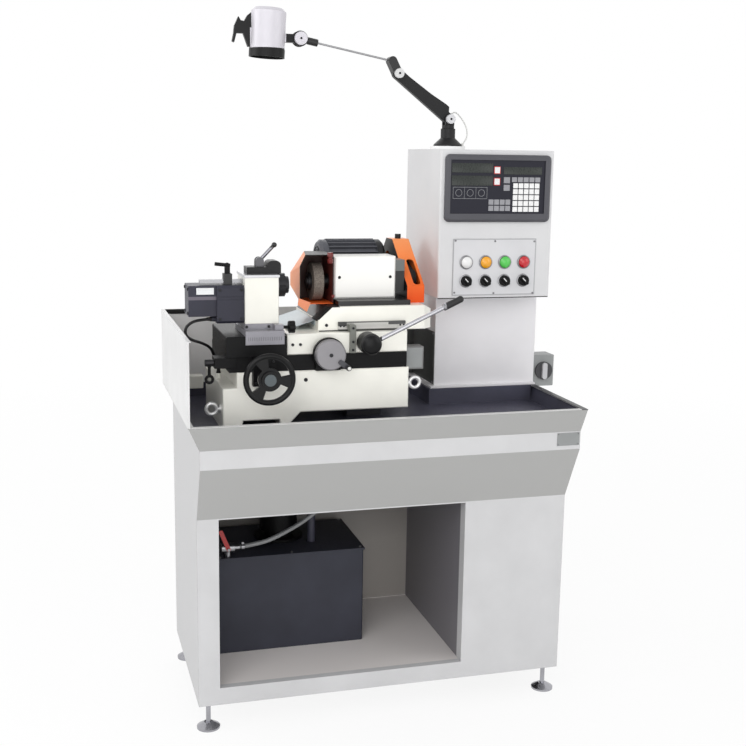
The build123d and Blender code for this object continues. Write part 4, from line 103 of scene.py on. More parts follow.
@dataclass
class Graph:
    """A node tree, with short calls to add and link its nodes."""

    tree: bpy.types.NodeTree

    def __post_init__(self) -> None:
        """Starts from an empty tree."""
        self.tree.nodes.clear()

    def add(self, kind: str, inputs: Optional[dict] = None, **settings: object) -> bpy.types.Node:
        """Adds a node.

        Args:
            kind: The node's type without its common prefix.
            inputs: Values or output sockets for its inputs, by name or number.
            settings: Values of the node's own options.

        Returns:
            The new node.
        """
        node = self.tree.nodes.new("ShaderNode" + kind)
        for name, value in settings.items():
            setattr(node, name, value)
        for key, value in (inputs or {}).items():
            if isinstance(value, Socket):
                self.tree.links.new(value, node.inputs[key])
            else:
                node.inputs[key].default_value = value
        return node

    def close(self, kind: str, shader: Socket) -> None:
        """Ends the tree in an output node."""
        self.tree.links.new(shader, self.add(kind).inputs[0])

    def math(self, operation: str, first: object, second: object) -> Socket:
        """The result of a sum on two values or sockets."""
        return self.add("Math", {0: first, 1: second}, operation=operation).outputs[0]

    def noise(self, where: Socket, scale: float, detail: float) -> Socket:
        """A soft noise of a scale per metre."""
        return self.add("TexNoise", {"Vector": where, "Scale": scale, "Detail": detail}).outputs["Fac"]

    def dot(self, first: Socket, second: Socket) -> Socket:
        """How far two directions agree."""
        return self.add("VectorMath", {0: first, 1: second}, operation="DOT_PRODUCT").outputs["Value"]

    def mix(self, share: object, first: object, second: object) -> Socket:
        """A colour between two colours."""
        return self.add("Mix", {0: share, 6: first, 7: second}, data_type="RGBA").outputs[2]

    def blend(self, share: object, first: object, second: object) -> Socket:
        """A number between two numbers."""
        return self.add("Mix", {0: share, 2: first, 3: second}, data_type="FLOAT").outputs[0]

    def spread(self, value: object, low: float, high: float, start: float = 0.3, end: float = 0.7) -> Socket:
        """A value stretched from one range to another."""
        inputs = {"Value": value, "From Min": start, "From Max": end, "To Min": low, "To Max": high}
        return self.add("MapRange", inputs).outputs[0]


class Grain(Enum):
    """The fine relief of a surface: its scale per metre, its depth in metres and its stretch along the axes."""

    PEEL = (700.0, 0.00012, EVEN)
    CAST = (300.0, 0.00022, EVEN)
    MOULD = (1500.0, 0.00005, EVEN)
    BRUSH = (1400.0, 0.00003, (0.03, 1.0, 1.0))
    TURNED = (1600.0, 0.00003, (1.0, 0.05, 1.0))
    POLISH = (240.0, 0.00001, EVEN)
    GRIT = (950.0, 0.00060, EVEN)
    RUBBER = (1100.0, 0.00010, EVEN)


@dataclass(frozen=True)
class Zone:
    """A part of a surface with its own finish, or with painted light or painted shade, between places along the axes
    or growing along Z.
    """

    colour: Colour
    roughness: float = 0.45
    metallic: float = 0.0
    x: Span = OPEN
    y: Span = OPEN
    z: Span = OPEN
    rise: Optional[Pair] = None


MOTTLE = (9.0, 4.0)
RUBBING = (60.0, 5.0)
GRAIN_DETAIL = 3.0
GLOSS_SPREAD = 0.25
RUBBED_EDGE = (0.80, 0.98)
RUBBED_PATCH = (0.45, 0.7)
BUMP_STRENGTH = 0.6
COAT_ROUGHNESS = 0.12
ROUNDING_SAMPLES = 4
GRIT_CELLS = 0.7
GRIT_SPREAD = (0.0, 0.5)
GRIT_PALE = (0.62, 0.58, 0.54)


@dataclass(frozen=True)
class Finish:
    """A procedural finish: colour, gloss, mottling, relief, edge wear, zones and a painted shade on the inner faces of
    a shell.
    """

    name: str
    slot: str
    colour: Colour
    roughness: float
    grain: Grain
    metallic: float = 0.0
    mottle: float = 0.05
    coat: float = 0.0
    gloss: float = 0.5
    rounding: float = 0.0
    wear: float = 0.0
    wear_colour: Colour = (0.55, 0.55, 0.56)
    zones: tuple[Zone, ...] = ()
    # painted shade: a darker colour on the faces that look towards a centre, inside a shell
    lining: Optional[Colour] = None
    lining_centre: Point = (0.0, 0.0, 0.0)

    def like(self, name: str, colour: Colour, *zones: Zone, **changes: object) -> "Finish":
        """A finish of the same kind with its own name, colour, zones and changes."""
        return replace(self, name=name, colour=colour, zones=zones, **changes)

    def material(self) -> bpy.types.Material:
        """Makes the material of this finish once.

        Returns:
            The material.
        """
        found = bpy.data.materials.get(self.name)
        if found is not None:
            return found
        made = bpy.data.materials.new(self.name)
        made.use_nodes = True
        made.diffuse_color = linear(self.colour)
        self.fill(Graph(made.node_tree))
        return made

    def fill(self, graph: Graph) -> None:
        """Builds the node tree.

        Args:
            graph: The empty tree of the material.
        """
        place = graph.add("TexCoord")
        where = place.outputs["Object"]
        cloud = graph.noise(where, *MOTTLE)
        dark = linear(tuple(c * (1 - self.mottle) for c in self.colour))
        light = linear(tuple(min(1.0, c * (1 + self.mottle / 2)) for c in self.colour))
        colour = graph.mix(graph.spread(cloud, 0.0, 1.0), dark, light)
        scale, depth, stretch = self.grain.value
        stretched = graph.add("Mapping", {"Vector": where, "Scale": stretch})
        fine = graph.noise(stretched.outputs[0], scale, GRAIN_DETAIL)
        spread = GLOSS_SPREAD * self.roughness
        roughness = graph.spread(fine, self.roughness - spread, self.roughness + spread)
        metallic: object = self.metallic
        if self.grain is Grain.GRIT:
            cells = graph.add("TexVoronoi", {"Vector": where, "Scale": scale * GRIT_CELLS})
            colour = graph.mix(graph.spread(cells.outputs["Color"], *GRIT_SPREAD), colour, linear(GRIT_PALE))
        # painted shade on the faces inside a shell
        if self.lining is not None:
            colour = graph.mix(self.facing(graph, place), colour, linear(self.lining))
        for zone in self.zones:
            share = self.inside(graph, where, zone)
            colour = graph.mix(share, colour, linear(zone.colour))
            roughness = graph.blend(share, roughness, zone.roughness)
            if zone.metallic != self.metallic:
                metallic = graph.blend(share, metallic, zone.metallic)
        bump = graph.add("Bump", {"Strength": BUMP_STRENGTH, "Distance": depth, "Height": fine})
        if self.rounding > 0:
            soft = graph.add("Bevel", {"Radius": self.rounding}, samples=ROUNDING_SAMPLES).outputs[0]
            graph.tree.links.new(soft, bump.inputs["Normal"])
            if self.wear > 0:
                colour = self.worn(graph, where, soft, colour)
        shader = graph.add("BsdfPrincipled", {
            "Base Color": colour, "Roughness": roughness, "Metallic": metallic, "Normal": bump.outputs[0],
            "Specular IOR Level": self.gloss, "Coat Weight": self.coat, "Coat Roughness": COAT_ROUGHNESS})
        graph.close("OutputMaterial", shader.outputs[0])

    def inside(self, graph: Graph, where: Socket, zone: Zone) -> Socket:
        """A mask that is 1 inside a zone.

        Args:
            graph: The tree to add to.
            where: The object coordinates.
            zone: The zone with its spans and its rise.

        Returns:
            The mask's socket.
        """
        parts = graph.add("SeparateXYZ", {0: where}).outputs
        masks = []
        for place, (low, high) in zip(parts, (zone.x, zone.y, zone.z)):
            if low is not None:
                masks.append(graph.math("GREATER_THAN", place, low))
            if high is not None:
                masks.append(graph.math("LESS_THAN", place, high))
        if zone.rise is not None:
            masks.append(graph.spread(parts[2], 0.0, 1.0, *zone.rise))
        whole = masks[0]
        for mask in masks[1:]:
            whole = graph.math("MULTIPLY", whole, mask)
        return whole

    def facing(self, graph: Graph, place: bpy.types.Node) -> Socket:
        """A mask that is 1 on the faces that look towards the centre of the painted inner shade."""
        away = graph.add("VectorMath", {0: place.outputs["Object"], 1: self.lining_centre}, operation="SUBTRACT")
        return graph.math("LESS_THAN", graph.dot(away.outputs[0], place.outputs["Normal"]), 0.0)

    def worn(self, graph: Graph, where: Socket, soft: Socket, colour: Socket) -> Socket:
        """The colour with rubbed edges.

        Args:
            graph: The tree to add to.
            where: The object coordinates.
            soft: The rounded normal.
            colour: The colour away from the edges.

        Returns:
            The colour's socket.
        """
        turn = graph.dot(soft, graph.add("NewGeometry").outputs["Normal"])
        edge = graph.spread(turn, 1.0, 0.0, *RUBBED_EDGE)
        patch = graph.noise(where, *RUBBING)
        share = graph.math("MULTIPLY", edge, graph.spread(patch, 0.0, self.wear, *RUBBED_PATCH))
        return graph.mix(share, colour, linear(self.wear_colour))


JET = (0.03, 0.03, 0.035)
BLACK = (0.05, 0.05, 0.055)
SOFT_BLACK = (0.06, 0.06, 0.065)
KNOB_BLACK = (0.07, 0.07, 0.075)
RING_BLACK = (0.08, 0.08, 0.085)
VENT_BLACK = (0.08, 0.08, 0.08)
PLATE_EDGE = (0.66, 0.66, 0.67)
GROOVE_GREY = (0.40, 0.40, 0.39)
BAY_WIDE = (-0.453, 0.179)
BAY_BACK = (0.2, 0.2832)
FLANK_SHADE = 0.62

SHEET_COAT = Finish("sheet_coat", "cabinet_grey", (0.80, 0.80, 0.805), 0.45, Grain.PEEL, mottle=0.025, coat=0.15,
                    rounding=0.0015, wear=0.2)
CABINET_COAT = SHEET_COAT.like(
    "cabinet_coat", (0.79, 0.79, 0.795),
    # painted shade: the slanted apron below the band is darker, as it faces down
    Zone((0.655, 0.655, 0.65), 0.5, y=(None, -0.2004), z=(0.5515, 0.6936)),
    Zone((0.72, 0.72, 0.725), x=(None, -0.5055)),
    Zone((0.90, 0.88, 0.87), 0.5, x=BAY_WIDE, y=(-0.18, 0.2832), z=(0.1138, 0.1165)),
    # painted shade: the bay's back wall is darker than the cabinet
    Zone((0.64, 0.62, 0.60), 0.5, x=BAY_WIDE, y=BAY_BACK, z=(0.1165, None)),
    # painted shade: the back wall darkens further towards the top, under the cabinet's top
    Zone((0.34, 0.33, 0.32), 0.5, x=BAY_WIDE, y=BAY_BACK, rise=(0.30, 0.54)),
    # painted shade: the partition wall on the bay's right is darker, as it stands in shadow
    Zone((0.47, 0.46, 0.48), 0.5, x=(0.1780, 0.1800), y=(-0.166, None), z=(0.1155, 0.5480)))
TRAY_COAT = SHEET_COAT.like(
    "tray_coat", (0.815, 0.815, 0.81),
    # painted shade: the flared skirt below the front lip is darker, as it faces down
    Zone((0.635, 0.635, 0.63), 0.5, y=(None, -0.2729), z=(None, 0.7970)),
    Zone((0.22, 0.22, 0.23), 0.5, x=(0.4500, None), y=(None, 0.05), z=(0.7965, None)))
GUARD_COAT = SHEET_COAT.like("guard_coat", (0.85, 0.85, 0.85), roughness=0.42, rounding=0.0012)
COLUMN_COAT = SHEET_COAT.like("column_coat", (0.905, 0.90, 0.91), slot="box_white", roughness=0.42, mottle=0.02,
                              wear=0.15)
# painted highlight: the raised pad on top of the box is lighter than the box, standing in for the light on the top
BOX_COAT = COLUMN_COAT.like("box_coat", (0.83, 0.83, 0.835), Zone((0.95, 0.95, 0.95), 0.4, z=(1.4352, None)))
# also the finish of the dark sheets that stand in for shade on the rear guard and the column
PANEL_DARK = Finish("panel_dark", "pan_dark", (0.27, 0.275, 0.27), 0.5, Grain.PEEL, mottle=0.12, gloss=0.3,
                    rounding=0.001)
PAN_ENAMEL = PANEL_DARK.like("pan_enamel", (0.285, 0.285, 0.34), roughness=0.45, mottle=0.15, gloss=0.35)
TANK_COAT = PANEL_DARK.like("tank_coat", (0.20, 0.205, 0.245), slot="tank_slate", mottle=0.1, rounding=0.002, wear=0.2,
                            wear_colour=(0.36, 0.37, 0.40))
SLATE = PANEL_DARK.like(
    "slate_enamel", (0.205, 0.205, 0.25),
    # painted highlight: a lighter band across the motor's front
    Zone((0.42, 0.40, 0.44), x=(None, -0.4402), y=(None, -0.1105), z=(1.0700, 1.0781)),
    slot="slate_paint", roughness=0.45, mottle=0.1, gloss=0.25)
ORANGE = PANEL_DARK.like(
    "orange_enamel", (0.95, 0.47, 0.19),
    # painted light and shade: lighter peach towards the top and deeper orange towards the bottom, as the light falls
    # from above
    Zone((0.90, 0.32, 0.05), 0.42, rise=(1.13, 1.06)), Zone((0.98, 0.62, 0.38), 0.42, rise=(1.13, 1.21)),
    Zone(VENT_BLACK, x=(None, 0.0524)), Zone(VENT_BLACK, z=(1.2001, None)),
    slot="orange_paint", roughness=0.42, mottle=0.04)
HOOD_ORANGE = ORANGE.like(
    "hood_enamel", (0.95, 0.61, 0.43),
    Zone((0.37, 0.16, 0.14), x=(-0.1446, None)), Zone((0.89, 0.38, 0.14), z=(None, 1.0515)),
    Zone((0.95, 0.60, 0.45), y=(None, -0.0655)), Zone((0.09, 0.09, 0.09), z=(1.1714, None)),
    Zone((0.10, 0.09, 0.09), y=(-0.0652, -0.0648), z=(1.0600, None)),
    # painted shade: the faces inside the hood get a darkened copy of its orange
    lining=(0.29, 0.20, 0.18), lining_centre=(-0.1835, -0.005, 1.105))
KEY_GREY = Finish("key_grey", "grey_plastic", (0.58, 0.58, 0.60), 0.45, Grain.MOULD)
KEY_WHITE = KEY_GREY.like("key_white", (0.92, 0.92, 0.92), slot="readout_case", roughness=0.4)
KEY_RED = KEY_GREY.like("key_red", (0.80, 0.16, 0.14), slot="red_plastic", roughness=0.35)
RED_DIP = KEY_RED.like("red_dip", (0.72, 0.10, 0.09), roughness=0.3, coat=0.3)
INK_GREY = KEY_GREY.like("line_grey", (0.60, 0.61, 0.62), roughness=0.5)
GREY_MOULD = KEY_GREY.like("grey_mould", (0.57, 0.58, 0.58), rounding=0.001)
ISOLATOR_GREY = KEY_GREY.like("isolator_grey", (0.27, 0.27, 0.28), Zone((0.76, 0.76, 0.77), 0.4, y=(None, 0.0601)),
                              gloss=0.3)
CASE_GREY = GREY_MOULD.like(
    "readout_shell", (0.33, 0.33, 0.35),
    Zone((0.13, 0.13, 0.17), 0.4, x=(0.1748, 0.4372), y=(-0.0322, -0.0200), z=(1.2718, 1.4092)),
    Zone(KEY_WHITE.colour, 0.4, x=(0.3440, 0.4232), y=(-0.0315, -0.0297), z=(1.2762, 1.3512)),
    slot="readout_case", roughness=0.5, gloss=0.25)
WINDOW_GLASS = Finish("window_glass", "readout_case", (0.20, 0.215, 0.205), 0.3, Grain.POLISH, gloss=0.3)
BLACK_MOULD = Finish("black_mould", "black_plastic", BLACK, 0.45, Grain.MOULD, mottle=0.15, gloss=0.18,
                     rounding=0.0006)
HUB_BLACK = Finish("hub_gloss", "black_plastic", JET, 0.3, Grain.MOULD, mottle=0.1, gloss=0.22)
HANDWHEEL_BLACK = HUB_BLACK.like("handwheel_gloss", JET, Zone((0.33, 0.355, 0.365), 0.35, 0.4, y=(None, -0.2512)))
KNOB_RED = Finish("knob_red_brown", "black_plastic", (0.45, 0.12, 0.11), 0.36, Grain.MOULD, mottle=0.1)
PLATE_SATIN = Finish(
    "plate_satin", "plate_silver", (0.82, 0.82, 0.83), 0.4, Grain.BRUSH, metallic=0.2, mottle=0.03, rounding=0.0006,
    zones=(Zone(PLATE_EDGE, 0.4, x=(None, 0.1935)), Zone(PLATE_EDGE, 0.4, x=(0.4215, None)),
           Zone(PLATE_EDGE, 0.4, z=(None, 1.0605)), Zone(PLATE_EDGE, 0.4, z=(1.2035, None))))


def lens_zones(left: float, right: float, colour: Colour) -> tuple[Zone, Zone]:
    """A pilot lens between two sides, with a painted shade on its darker flank."""
    flank = tuple(FLANK_SHADE * part for part in colour)
    return Zone(colour, 0.2, x=(left, right)), Zone(flank, 0.25, x=(left, right), y=(-0.0262, None))


LENSES = Finish(
    "pilot_lenses", "lens_clear", (0.93, 0.92, 0.88), 0.2, Grain.POLISH, coat=0.4,
    zones=(*lens_zones(0.200, 0.255, (0.90, 0.90, 0.90)), *lens_zones(0.255, 0.309, (0.93, 0.64, 0.10)),
           *lens_zones(0.309, 0.363, (0.30, 0.76, 0.30)), *lens_zones(0.363, 0.417, (0.76, 0.08, 0.14))))
CREAM = Finish("cream_enamel", "cream_paint", (0.98, 0.975, 0.94), 0.38, Grain.CAST, mottle=0.03, coat=0.2,
               rounding=0.0018, wear=0.2, wear_colour=(0.55, 0.55, 0.55),
               # painted shade: the bed's right-hand part below the tray lip, with its rear foot, is dark as the shadow
               # under it
               zones=(Zone((0.16, 0.16, 0.18), 0.5, x=(-0.1500, None), z=(None, 0.7955)),))
SLIDE_CREAM = CREAM.like("slide_enamel", (0.97, 0.965, 0.93),
                         Zone(SOFT_BLACK, x=(None, -0.1365), y=(-0.1198, None), z=(1.0165, None)))
HEAD_WHITE = Finish(
    "head_white", "white_paint", (0.955, 0.95, 0.935), 0.36, Grain.CAST, mottle=0.015, coat=0.2, rounding=0.0015,
    # painted highlight: the front face is lighter than the rest of the head, standing in for the light on it
    zones=(Zone((0.985, 0.98, 0.965), 0.36, y=(None, -0.0530)), Zone(BLACK, z=(None, 1.0602)),
           Zone(BLACK, x=(0.0241, None)), Zone((0.40, 0.415, 0.41), x=(0.0241, None), z=(1.128, None))))
WORKHEAD_WHITE = HEAD_WHITE.like("workhead_white", (0.945, 0.94, 0.905),
                                 Zone((0.72, 0.72, 0.73), 0.3, 0.8, z=(1.1239, None)), mottle=0.02, rounding=0.001)
BLACK_ENAMEL = Finish("black_enamel", "black_paint", BLACK, 0.42, Grain.CAST, mottle=0.2, gloss=0.15, rounding=0.0012,
                      wear=0.25, wear_colour=(0.30, 0.30, 0.31))
WAY_BLACK = BLACK_ENAMEL.like("way_black", BLACK, Zone((0.52, 0.52, 0.52), x=(0.0319, None)))
CLOSER_BLACK = BLACK_ENAMEL.like(
    "closer_black", (0.075, 0.075, 0.08),
    Zone((0.36, 0.36, 0.37), 0.35, 0.6, x=(-0.3405, -0.3195), z=(1.1462, None)), gloss=0.3, wear=0.0)
MOTOR_GREY = Finish("motor_enamel", "motor_grey", (0.33, 0.335, 0.36), 0.45, Grain.CAST, mottle=0.1, gloss=0.3,
                    rounding=0.0008, zones=(Zone((0.10, 0.10, 0.11), x=(0.0101, None)),))
READER_GREY = Finish("reader_grey", "grey_iron", (0.46, 0.465, 0.44), 0.42, Grain.CAST, rounding=0.0008)
GREY_IRON = Finish("ground_iron", "grey_iron", (0.55, 0.545, 0.57), 0.36, Grain.BRUSH, metallic=0.4, mottle=0.08,
                   rounding=0.0008)
DIAL_IRON = Finish(
    "dial_satin", "grey_iron", (0.535, 0.527, 0.54), 0.36, Grain.TURNED, metallic=0.35,
    zones=(Zone((0.24, 0.24, 0.26), 0.4, y=(None, -0.1985)), Zone(KNOB_BLACK, 0.3, y=(None, -0.2066)),
           # painted highlight: a pale cap on the front of the black crank ball
           Zone((0.88, 0.88, 0.86), 0.3, y=(None, -0.2188))))
STEEL = Finish("ground_steel", "steel", (0.57, 0.57, 0.58), 0.3, Grain.TURNED, metallic=1.0, mottle=0.08,
               rounding=0.0006)
TOGGLE_STEEL = STEEL.like("toggle_steel", STEEL.colour, Zone(KNOB_BLACK, 0.4, x=(-0.4202, -0.3998)))
FOOT_PLATE = Finish("foot_plating", "foot_chrome", (0.66, 0.66, 0.68), 0.24, Grain.TURNED, metallic=1.0, mottle=0.1)
EYE_STEEL = Finish("eyebolt_plating", "steel", (0.88, 0.88, 0.88), 0.32, Grain.TURNED, metallic=0.6)
DARK_STEEL = STEEL.like("blackened_steel", (0.17, 0.17, 0.18), roughness=0.36, metallic=0.6, mottle=0.15,
                        rounding=0.0005)
CHROME_LEVER = Finish(
    "lever_chrome", "steel", (0.74, 0.74, 0.76), 0.16, Grain.POLISH, metallic=1.0,
    zones=(Zone(JET, 0.36, x=(None, -0.049)), Zone(SOFT_BLACK, 0.4, x=(0.1140, None))))
BALL_LEVER = CHROME_LEVER.like("ball_lever_chrome", (0.48, 0.48, 0.50), Zone(SOFT_BLACK, 0.3, z=(1.1915, None)),
                               roughness=0.26)
SCALE_PALE = Finish("scale_pale", "steel", (0.86, 0.865, 0.87), 0.34, Grain.BRUSH, metallic=0.2, rounding=0.0005)
ZINC_SHEET = SCALE_PALE.like("zinc_sheet", (0.69, 0.735, 0.755), roughness=0.36, mottle=0.04)
SCALE_GREY = SCALE_PALE.like(
    "scale_grey", (0.77, 0.765, 0.75),
    Zone(GROOVE_GREY, z=(None, 0.9935)), Zone(GROOVE_GREY, z=(1.0085, None)),
    Zone((0.22, 0.22, 0.22), x=(None, -0.1210), z=(1.0010, None)),
    Zone((0.30, 0.30, 0.30), x=(-0.0140, None), z=(1.0030, None)), roughness=0.4)
ABRASIVE = Finish("bonded_grit", "abrasive", (0.39, 0.355, 0.325), 0.85, Grain.GRIT, mottle=0.12)
BELT = Finish("belt_rubber_black", "belt_rubber", (0.09, 0.09, 0.09), 0.7, Grain.RUBBER, gloss=0.25)
HOSE = Finish("hose_jacket", "hose_grey", (0.52, 0.525, 0.53), 0.38, Grain.RUBBER, mottle=0.06, coat=0.2)
CABLE = Finish("cable_jacket", "cable_black", KNOB_BLACK, 0.45, Grain.RUBBER, gloss=0.3)
CORD = Finish("cord_jacket", "cord_white", (0.88, 0.88, 0.87), 0.4, Grain.RUBBER)
LAMP_BODY = Finish(
    "lamp_satin", "lamp_silver", (0.83, 0.82, 0.845), 0.42, Grain.TURNED, metallic=0.15, mottle=0.03, gloss=0.25,
    rounding=0.0008,
    zones=(Zone((0.03, 0.03, 0.03), x=(None, -0.2300), z=(None, 1.6720)), Zone(RING_BLACK, x=(None, -0.3275)),
           Zone(RING_BLACK, x=(None, -0.3245), z=(1.7200, None)),
           Zone(RING_BLACK, x=(-0.2383, None), y=(0.0489, None))))
LAMP_CHROME = Finish(
    "lamp_rod_chrome", "lamp_silver", (0.62, 0.62, 0.63), 0.35, Grain.POLISH, metallic=0.6,
    zones=(Zone((0.80, 0.80, 0.80), 0.4, 0.2, y=(None, 0.0449)),
           Zone(RING_BLACK, x=(0.0265, None), y=(0.0449, None)), Zone(RING_BLACK, x=(None, -0.1560))))
LAMP_BLACK = Finish(
    "lamp_black_coat", "lamp_black", (0.085, 0.085, 0.09), 0.45, Grain.MOULD, mottle=0.15, gloss=0.3, rounding=0.0008,
    zones=(Zone((0.80, 0.80, 0.81), 0.4, 0.2, y=(None, 0.0449), z=(1.498, None)),))


def deselect() -> None:
    """Leaves edit mode and deselects everything."""
    active = bpy.context.view_layer.objects.active
    if active is not None and active.mode != "OBJECT":
        bpy.ops.object.mode_set(mode="OBJECT")
    bpy.ops.object.select_all(action="DESELECT")


def take(*pieces: Piece) -> None:
    """Selects pieces.

    Args:
        pieces: The objects, of which the first becomes the active one.
    """
    deselect()
    for piece in pieces:
        piece.select_set(True)
    bpy.context.view_layer.objects.active = pieces[0]


def settle(piece: Piece) -> None:
    """Moves a piece's place into its mesh, so that it sits at the origin."""
    take(piece)
    bpy.ops.object.transform_apply(location=True, rotation=True, scale=True)


def adopt(name: str) -> Piece:
    """Names the primitive that was just added and settles it.

    Args:
        name: The piece's name.

    Returns:
        The piece.
    """
    piece = bpy.context.view_layer.objects.active
    piece.name = piece.data.name = name
    settle(piece)
    return piece


def smooth(piece: Piece) -> None:
    """Shades shallow edges smooth and keeps sharp ones."""
    take(piece)
    bpy.ops.object.shade_smooth_by_angle(angle=SMOOTH_ANGLE)


def mend(piece: Piece) -> None:
    """Merges doubles, turns the faces outwards and smooths the shading.

    Args:
        piece: The object to mend.
    """
    take(piece)
    bpy.ops.object.mode_set(mode="EDIT")
    bpy.ops.mesh.select_all(action="SELECT")
    bpy.ops.mesh.remove_doubles(threshold=MERGE_GAP)
    bpy.ops.mesh.normals_make_consistent(inside=False)
    bpy.ops.object.mode_set(mode="OBJECT")
    smooth(piece)


def join(*pieces: Piece) -> Piece:
    """Joins pieces.

    Args:
        pieces: The objects to join.

    Returns:
        The first of them, which holds them all.
    """
    take(*pieces)
    if len(pieces) > 1:
        bpy.ops.object.join()
    return pieces[0]


def shift(x: float = 0.0, z: float = 0.0) -> Matrix:
    """A move along X and Z."""
    return Matrix.Translation(mm(x, 0.0, z))


def swing(angle: float, centre: Point) -> Matrix:
    """A turn by degrees round an axis along Y through a centre."""
    pivot = Matrix.Translation(mm(*centre))
    return pivot @ Matrix.Rotation(math.radians(angle), 4, Way.BACK.vector) @ pivot.inverted()


def rows(across: float, count: int, up: float = 0.0, lines: int = 1) -> tuple[Matrix, ...]:
    """The shifts that lead from the first of a set in level rows to the others."""
    return tuple(shift(across * step, up * line) for line in range(lines) for step in range(count))[1:]


def circle(centre: Point, count: int) -> tuple[Matrix, ...]:
    """The swings that lead from the first of an even circle to the others."""
    return tuple(swing(360 * step / count, centre) for step in range(1, count))


def grid(xs: Sequence[float], ys: Sequence[float], zs: Sequence[float]) -> tuple[Point, ...]:
    """All the points with the given places along the axes."""
    return tuple(product(xs, ys, zs))


def moved(piece: Piece, move: Matrix) -> Piece:
    """Moves a piece from where it was modelled.

    Args:
        piece: The object to move.
        move: The shift or the swing.

    Returns:
        The same piece.
    """
    piece.matrix_world = move
    settle(piece)
    return piece


def repeat(piece: Piece, moves: Iterable[Matrix]) -> Piece:
    """Joins moved copies to a piece.

    Args:
        piece: The first of the set.
        moves: The shifts or swings that lead to the others.

    Returns:
        The joined piece.
    """
    copies = []
    for move in moves:
        take(piece)
        bpy.ops.object.duplicate()
        copies.append(moved(bpy.context.view_layer.objects.active, move))
    return join(piece, *copies)


def link(name: str, data: bpy.types.ID) -> Piece:
    """Puts data into the scene as an object.

    Args:
        name: The object's name.
        data: Its curve, camera or light.

    Returns:
        The new object.
    """
    made = bpy.data.objects.new(name, data)
    bpy.context.scene.collection.objects.link(made)
    return made


def place(piece: Piece, finish: Finish, body: str = ROOT) -> None:
    """Gives a new piece its finish and the body that it rides on.

    Args:
        piece: The finished piece.
        finish: Its finish.
        body: The body that carries it.
    """
    piece.data.materials.clear()
    piece.data.materials.append(finish.material())
    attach(piece, body)
    log.info("%s rides on %s", piece.name, body)


@dataclass(frozen=True, kw_only=True)
class Part:
    """A new piece: its finish, its body, its turn, the moves to its copies and the shapes that are joined to it."""

    finish: Finish = DARK_STEEL
    body: str = ROOT
    turn: Optional[Matrix] = None
    copies: tuple[Matrix, ...] = ()
    joined: tuple["Part", ...] = ()

    def shape(self) -> Piece:
        """Models the first shape, which every kind of piece does in its own way."""
        raise NotImplementedError

    def make(self) -> Piece:
        """Models the whole piece.

        Returns:
            The first shape with its copies and the other shapes.
        """
        piece = self.shape()
        if self.turn is not None:
            moved(piece, self.turn)
        repeat(piece, self.copies)
        return join(piece, *[part.make() for part in self.joined])


@dataclass(frozen=True)
class Block(Part):
    """A block between its lowest and highest corner, with edges rounded to a width in some facets."""

    name: str
    low: Point
    high: Point
    edge: float
    facets: int = field(default=2, kw_only=True)

    def shape(self) -> Piece:
        """Models the block.

        Returns:
            The new piece.
        """
        deselect()
        low, high = mm(*self.low), mm(*self.high)
        bpy.ops.mesh.primitive_cube_add(size=1.0, location=(low + high) / 2)
        bpy.context.view_layer.objects.active.scale = high - low
        piece = adopt(self.name)
        bpy.ops.object.modifier_add(type="BEVEL")
        bevel = piece.modifiers[-1]
        bevel.width, bevel.segments, bevel.limit_method = self.edge * MM, self.facets, "ANGLE"
        bpy.ops.object.modifier_apply(modifier=bevel.name)
        smooth(piece)
        return piece


@dataclass(frozen=True)
class Panel(Block):
    """A block whose face has a rim round a middle that rises, or sinks where the rise is below 0."""

    rim: float
    rise: float
    way: Way = Way.FRONT

    def shape(self) -> Piece:
        """Models the block and insets the largest faces that look the panel's way.

        Returns:
            The new piece.
        """
        piece = super().shape()
        bpy.ops.object.mode_set(mode="EDIT")
        bpy.ops.mesh.select_mode(type="FACE")
        bpy.ops.mesh.select_all(action="DESELECT")
        bpy.ops.object.mode_set(mode="OBJECT")
        faces = [face for face in piece.data.polygons if face.normal.dot(self.way.vector) > SQUARE_ON]
        largest = max(face.area for face in faces)
        for face in faces:
            face.select = face.area > LARGE_SHARE * largest
        bpy.ops.object.mode_set(mode="EDIT")
        bpy.ops.mesh.inset(thickness=self.rim * MM, depth=self.rise * MM)
        bpy.ops.object.mode_set(mode="OBJECT")
        return piece


@dataclass(frozen=True)
class Round(Part):
    """A round piece, spun in steps from a half section: places along its axis, from its foot, with their radii."""

    name: str
    outline: Outline
    foot: Point
    way: Way
    steps: int = 28

    def shape(self) -> Piece:
        """Draws the half section and spins it.

        Returns:
            The new piece.
        """
        deselect()
        along = self.way.vector
        across = Vector([abs(along[index - 1]) for index in range(3)])
        corners = [mm(*self.foot) + (along * reach + across * radius) * MM for reach, radius in self.outline]
        bpy.ops.mesh.primitive_plane_add(size=MM, location=corners[0])
        piece = adopt(self.name)
        bpy.ops.object.mode_set(mode="EDIT")
        bpy.ops.mesh.select_mode(type="VERT")
        bpy.ops.mesh.select_all(action="SELECT")
        bpy.ops.mesh.merge(type="CENTER")
        for start, end in zip(corners, corners[1:]):
            bpy.ops.mesh.extrude_vertices_move(TRANSFORM_OT_translate={"value": end - start})
        bpy.ops.mesh.select_all(action="SELECT")
        bpy.ops.mesh.spin(steps=self.steps, angle=FULL_TURN, center=mm(*self.foot), axis=along)
        mend(piece)
        return piece


@dataclass(frozen=True)
class Screws(Part):
    """Socket-head screws on their places, with heads of a common height where none is given."""

    name: str
    places: Sequence[Point]
    radius: float
    height: float = 0.0
    way: Way = Way.FRONT

    def shape(self) -> Piece:
        """Models one head and copies it to the other places.

        Returns:
            The new piece.
        """
        first, *others = self.places
        top = self.height or self.radius * SCREW_SHARE
        outline = [(top * reach, self.radius * out) for reach, out in SCREW_HEAD]
        head = Round(self.name, outline, first, self.way, SCREW_FACETS).shape()
        return repeat(head, [Matrix.Translation(mm(*(Vector(other) - Vector(first)))) for other in others])


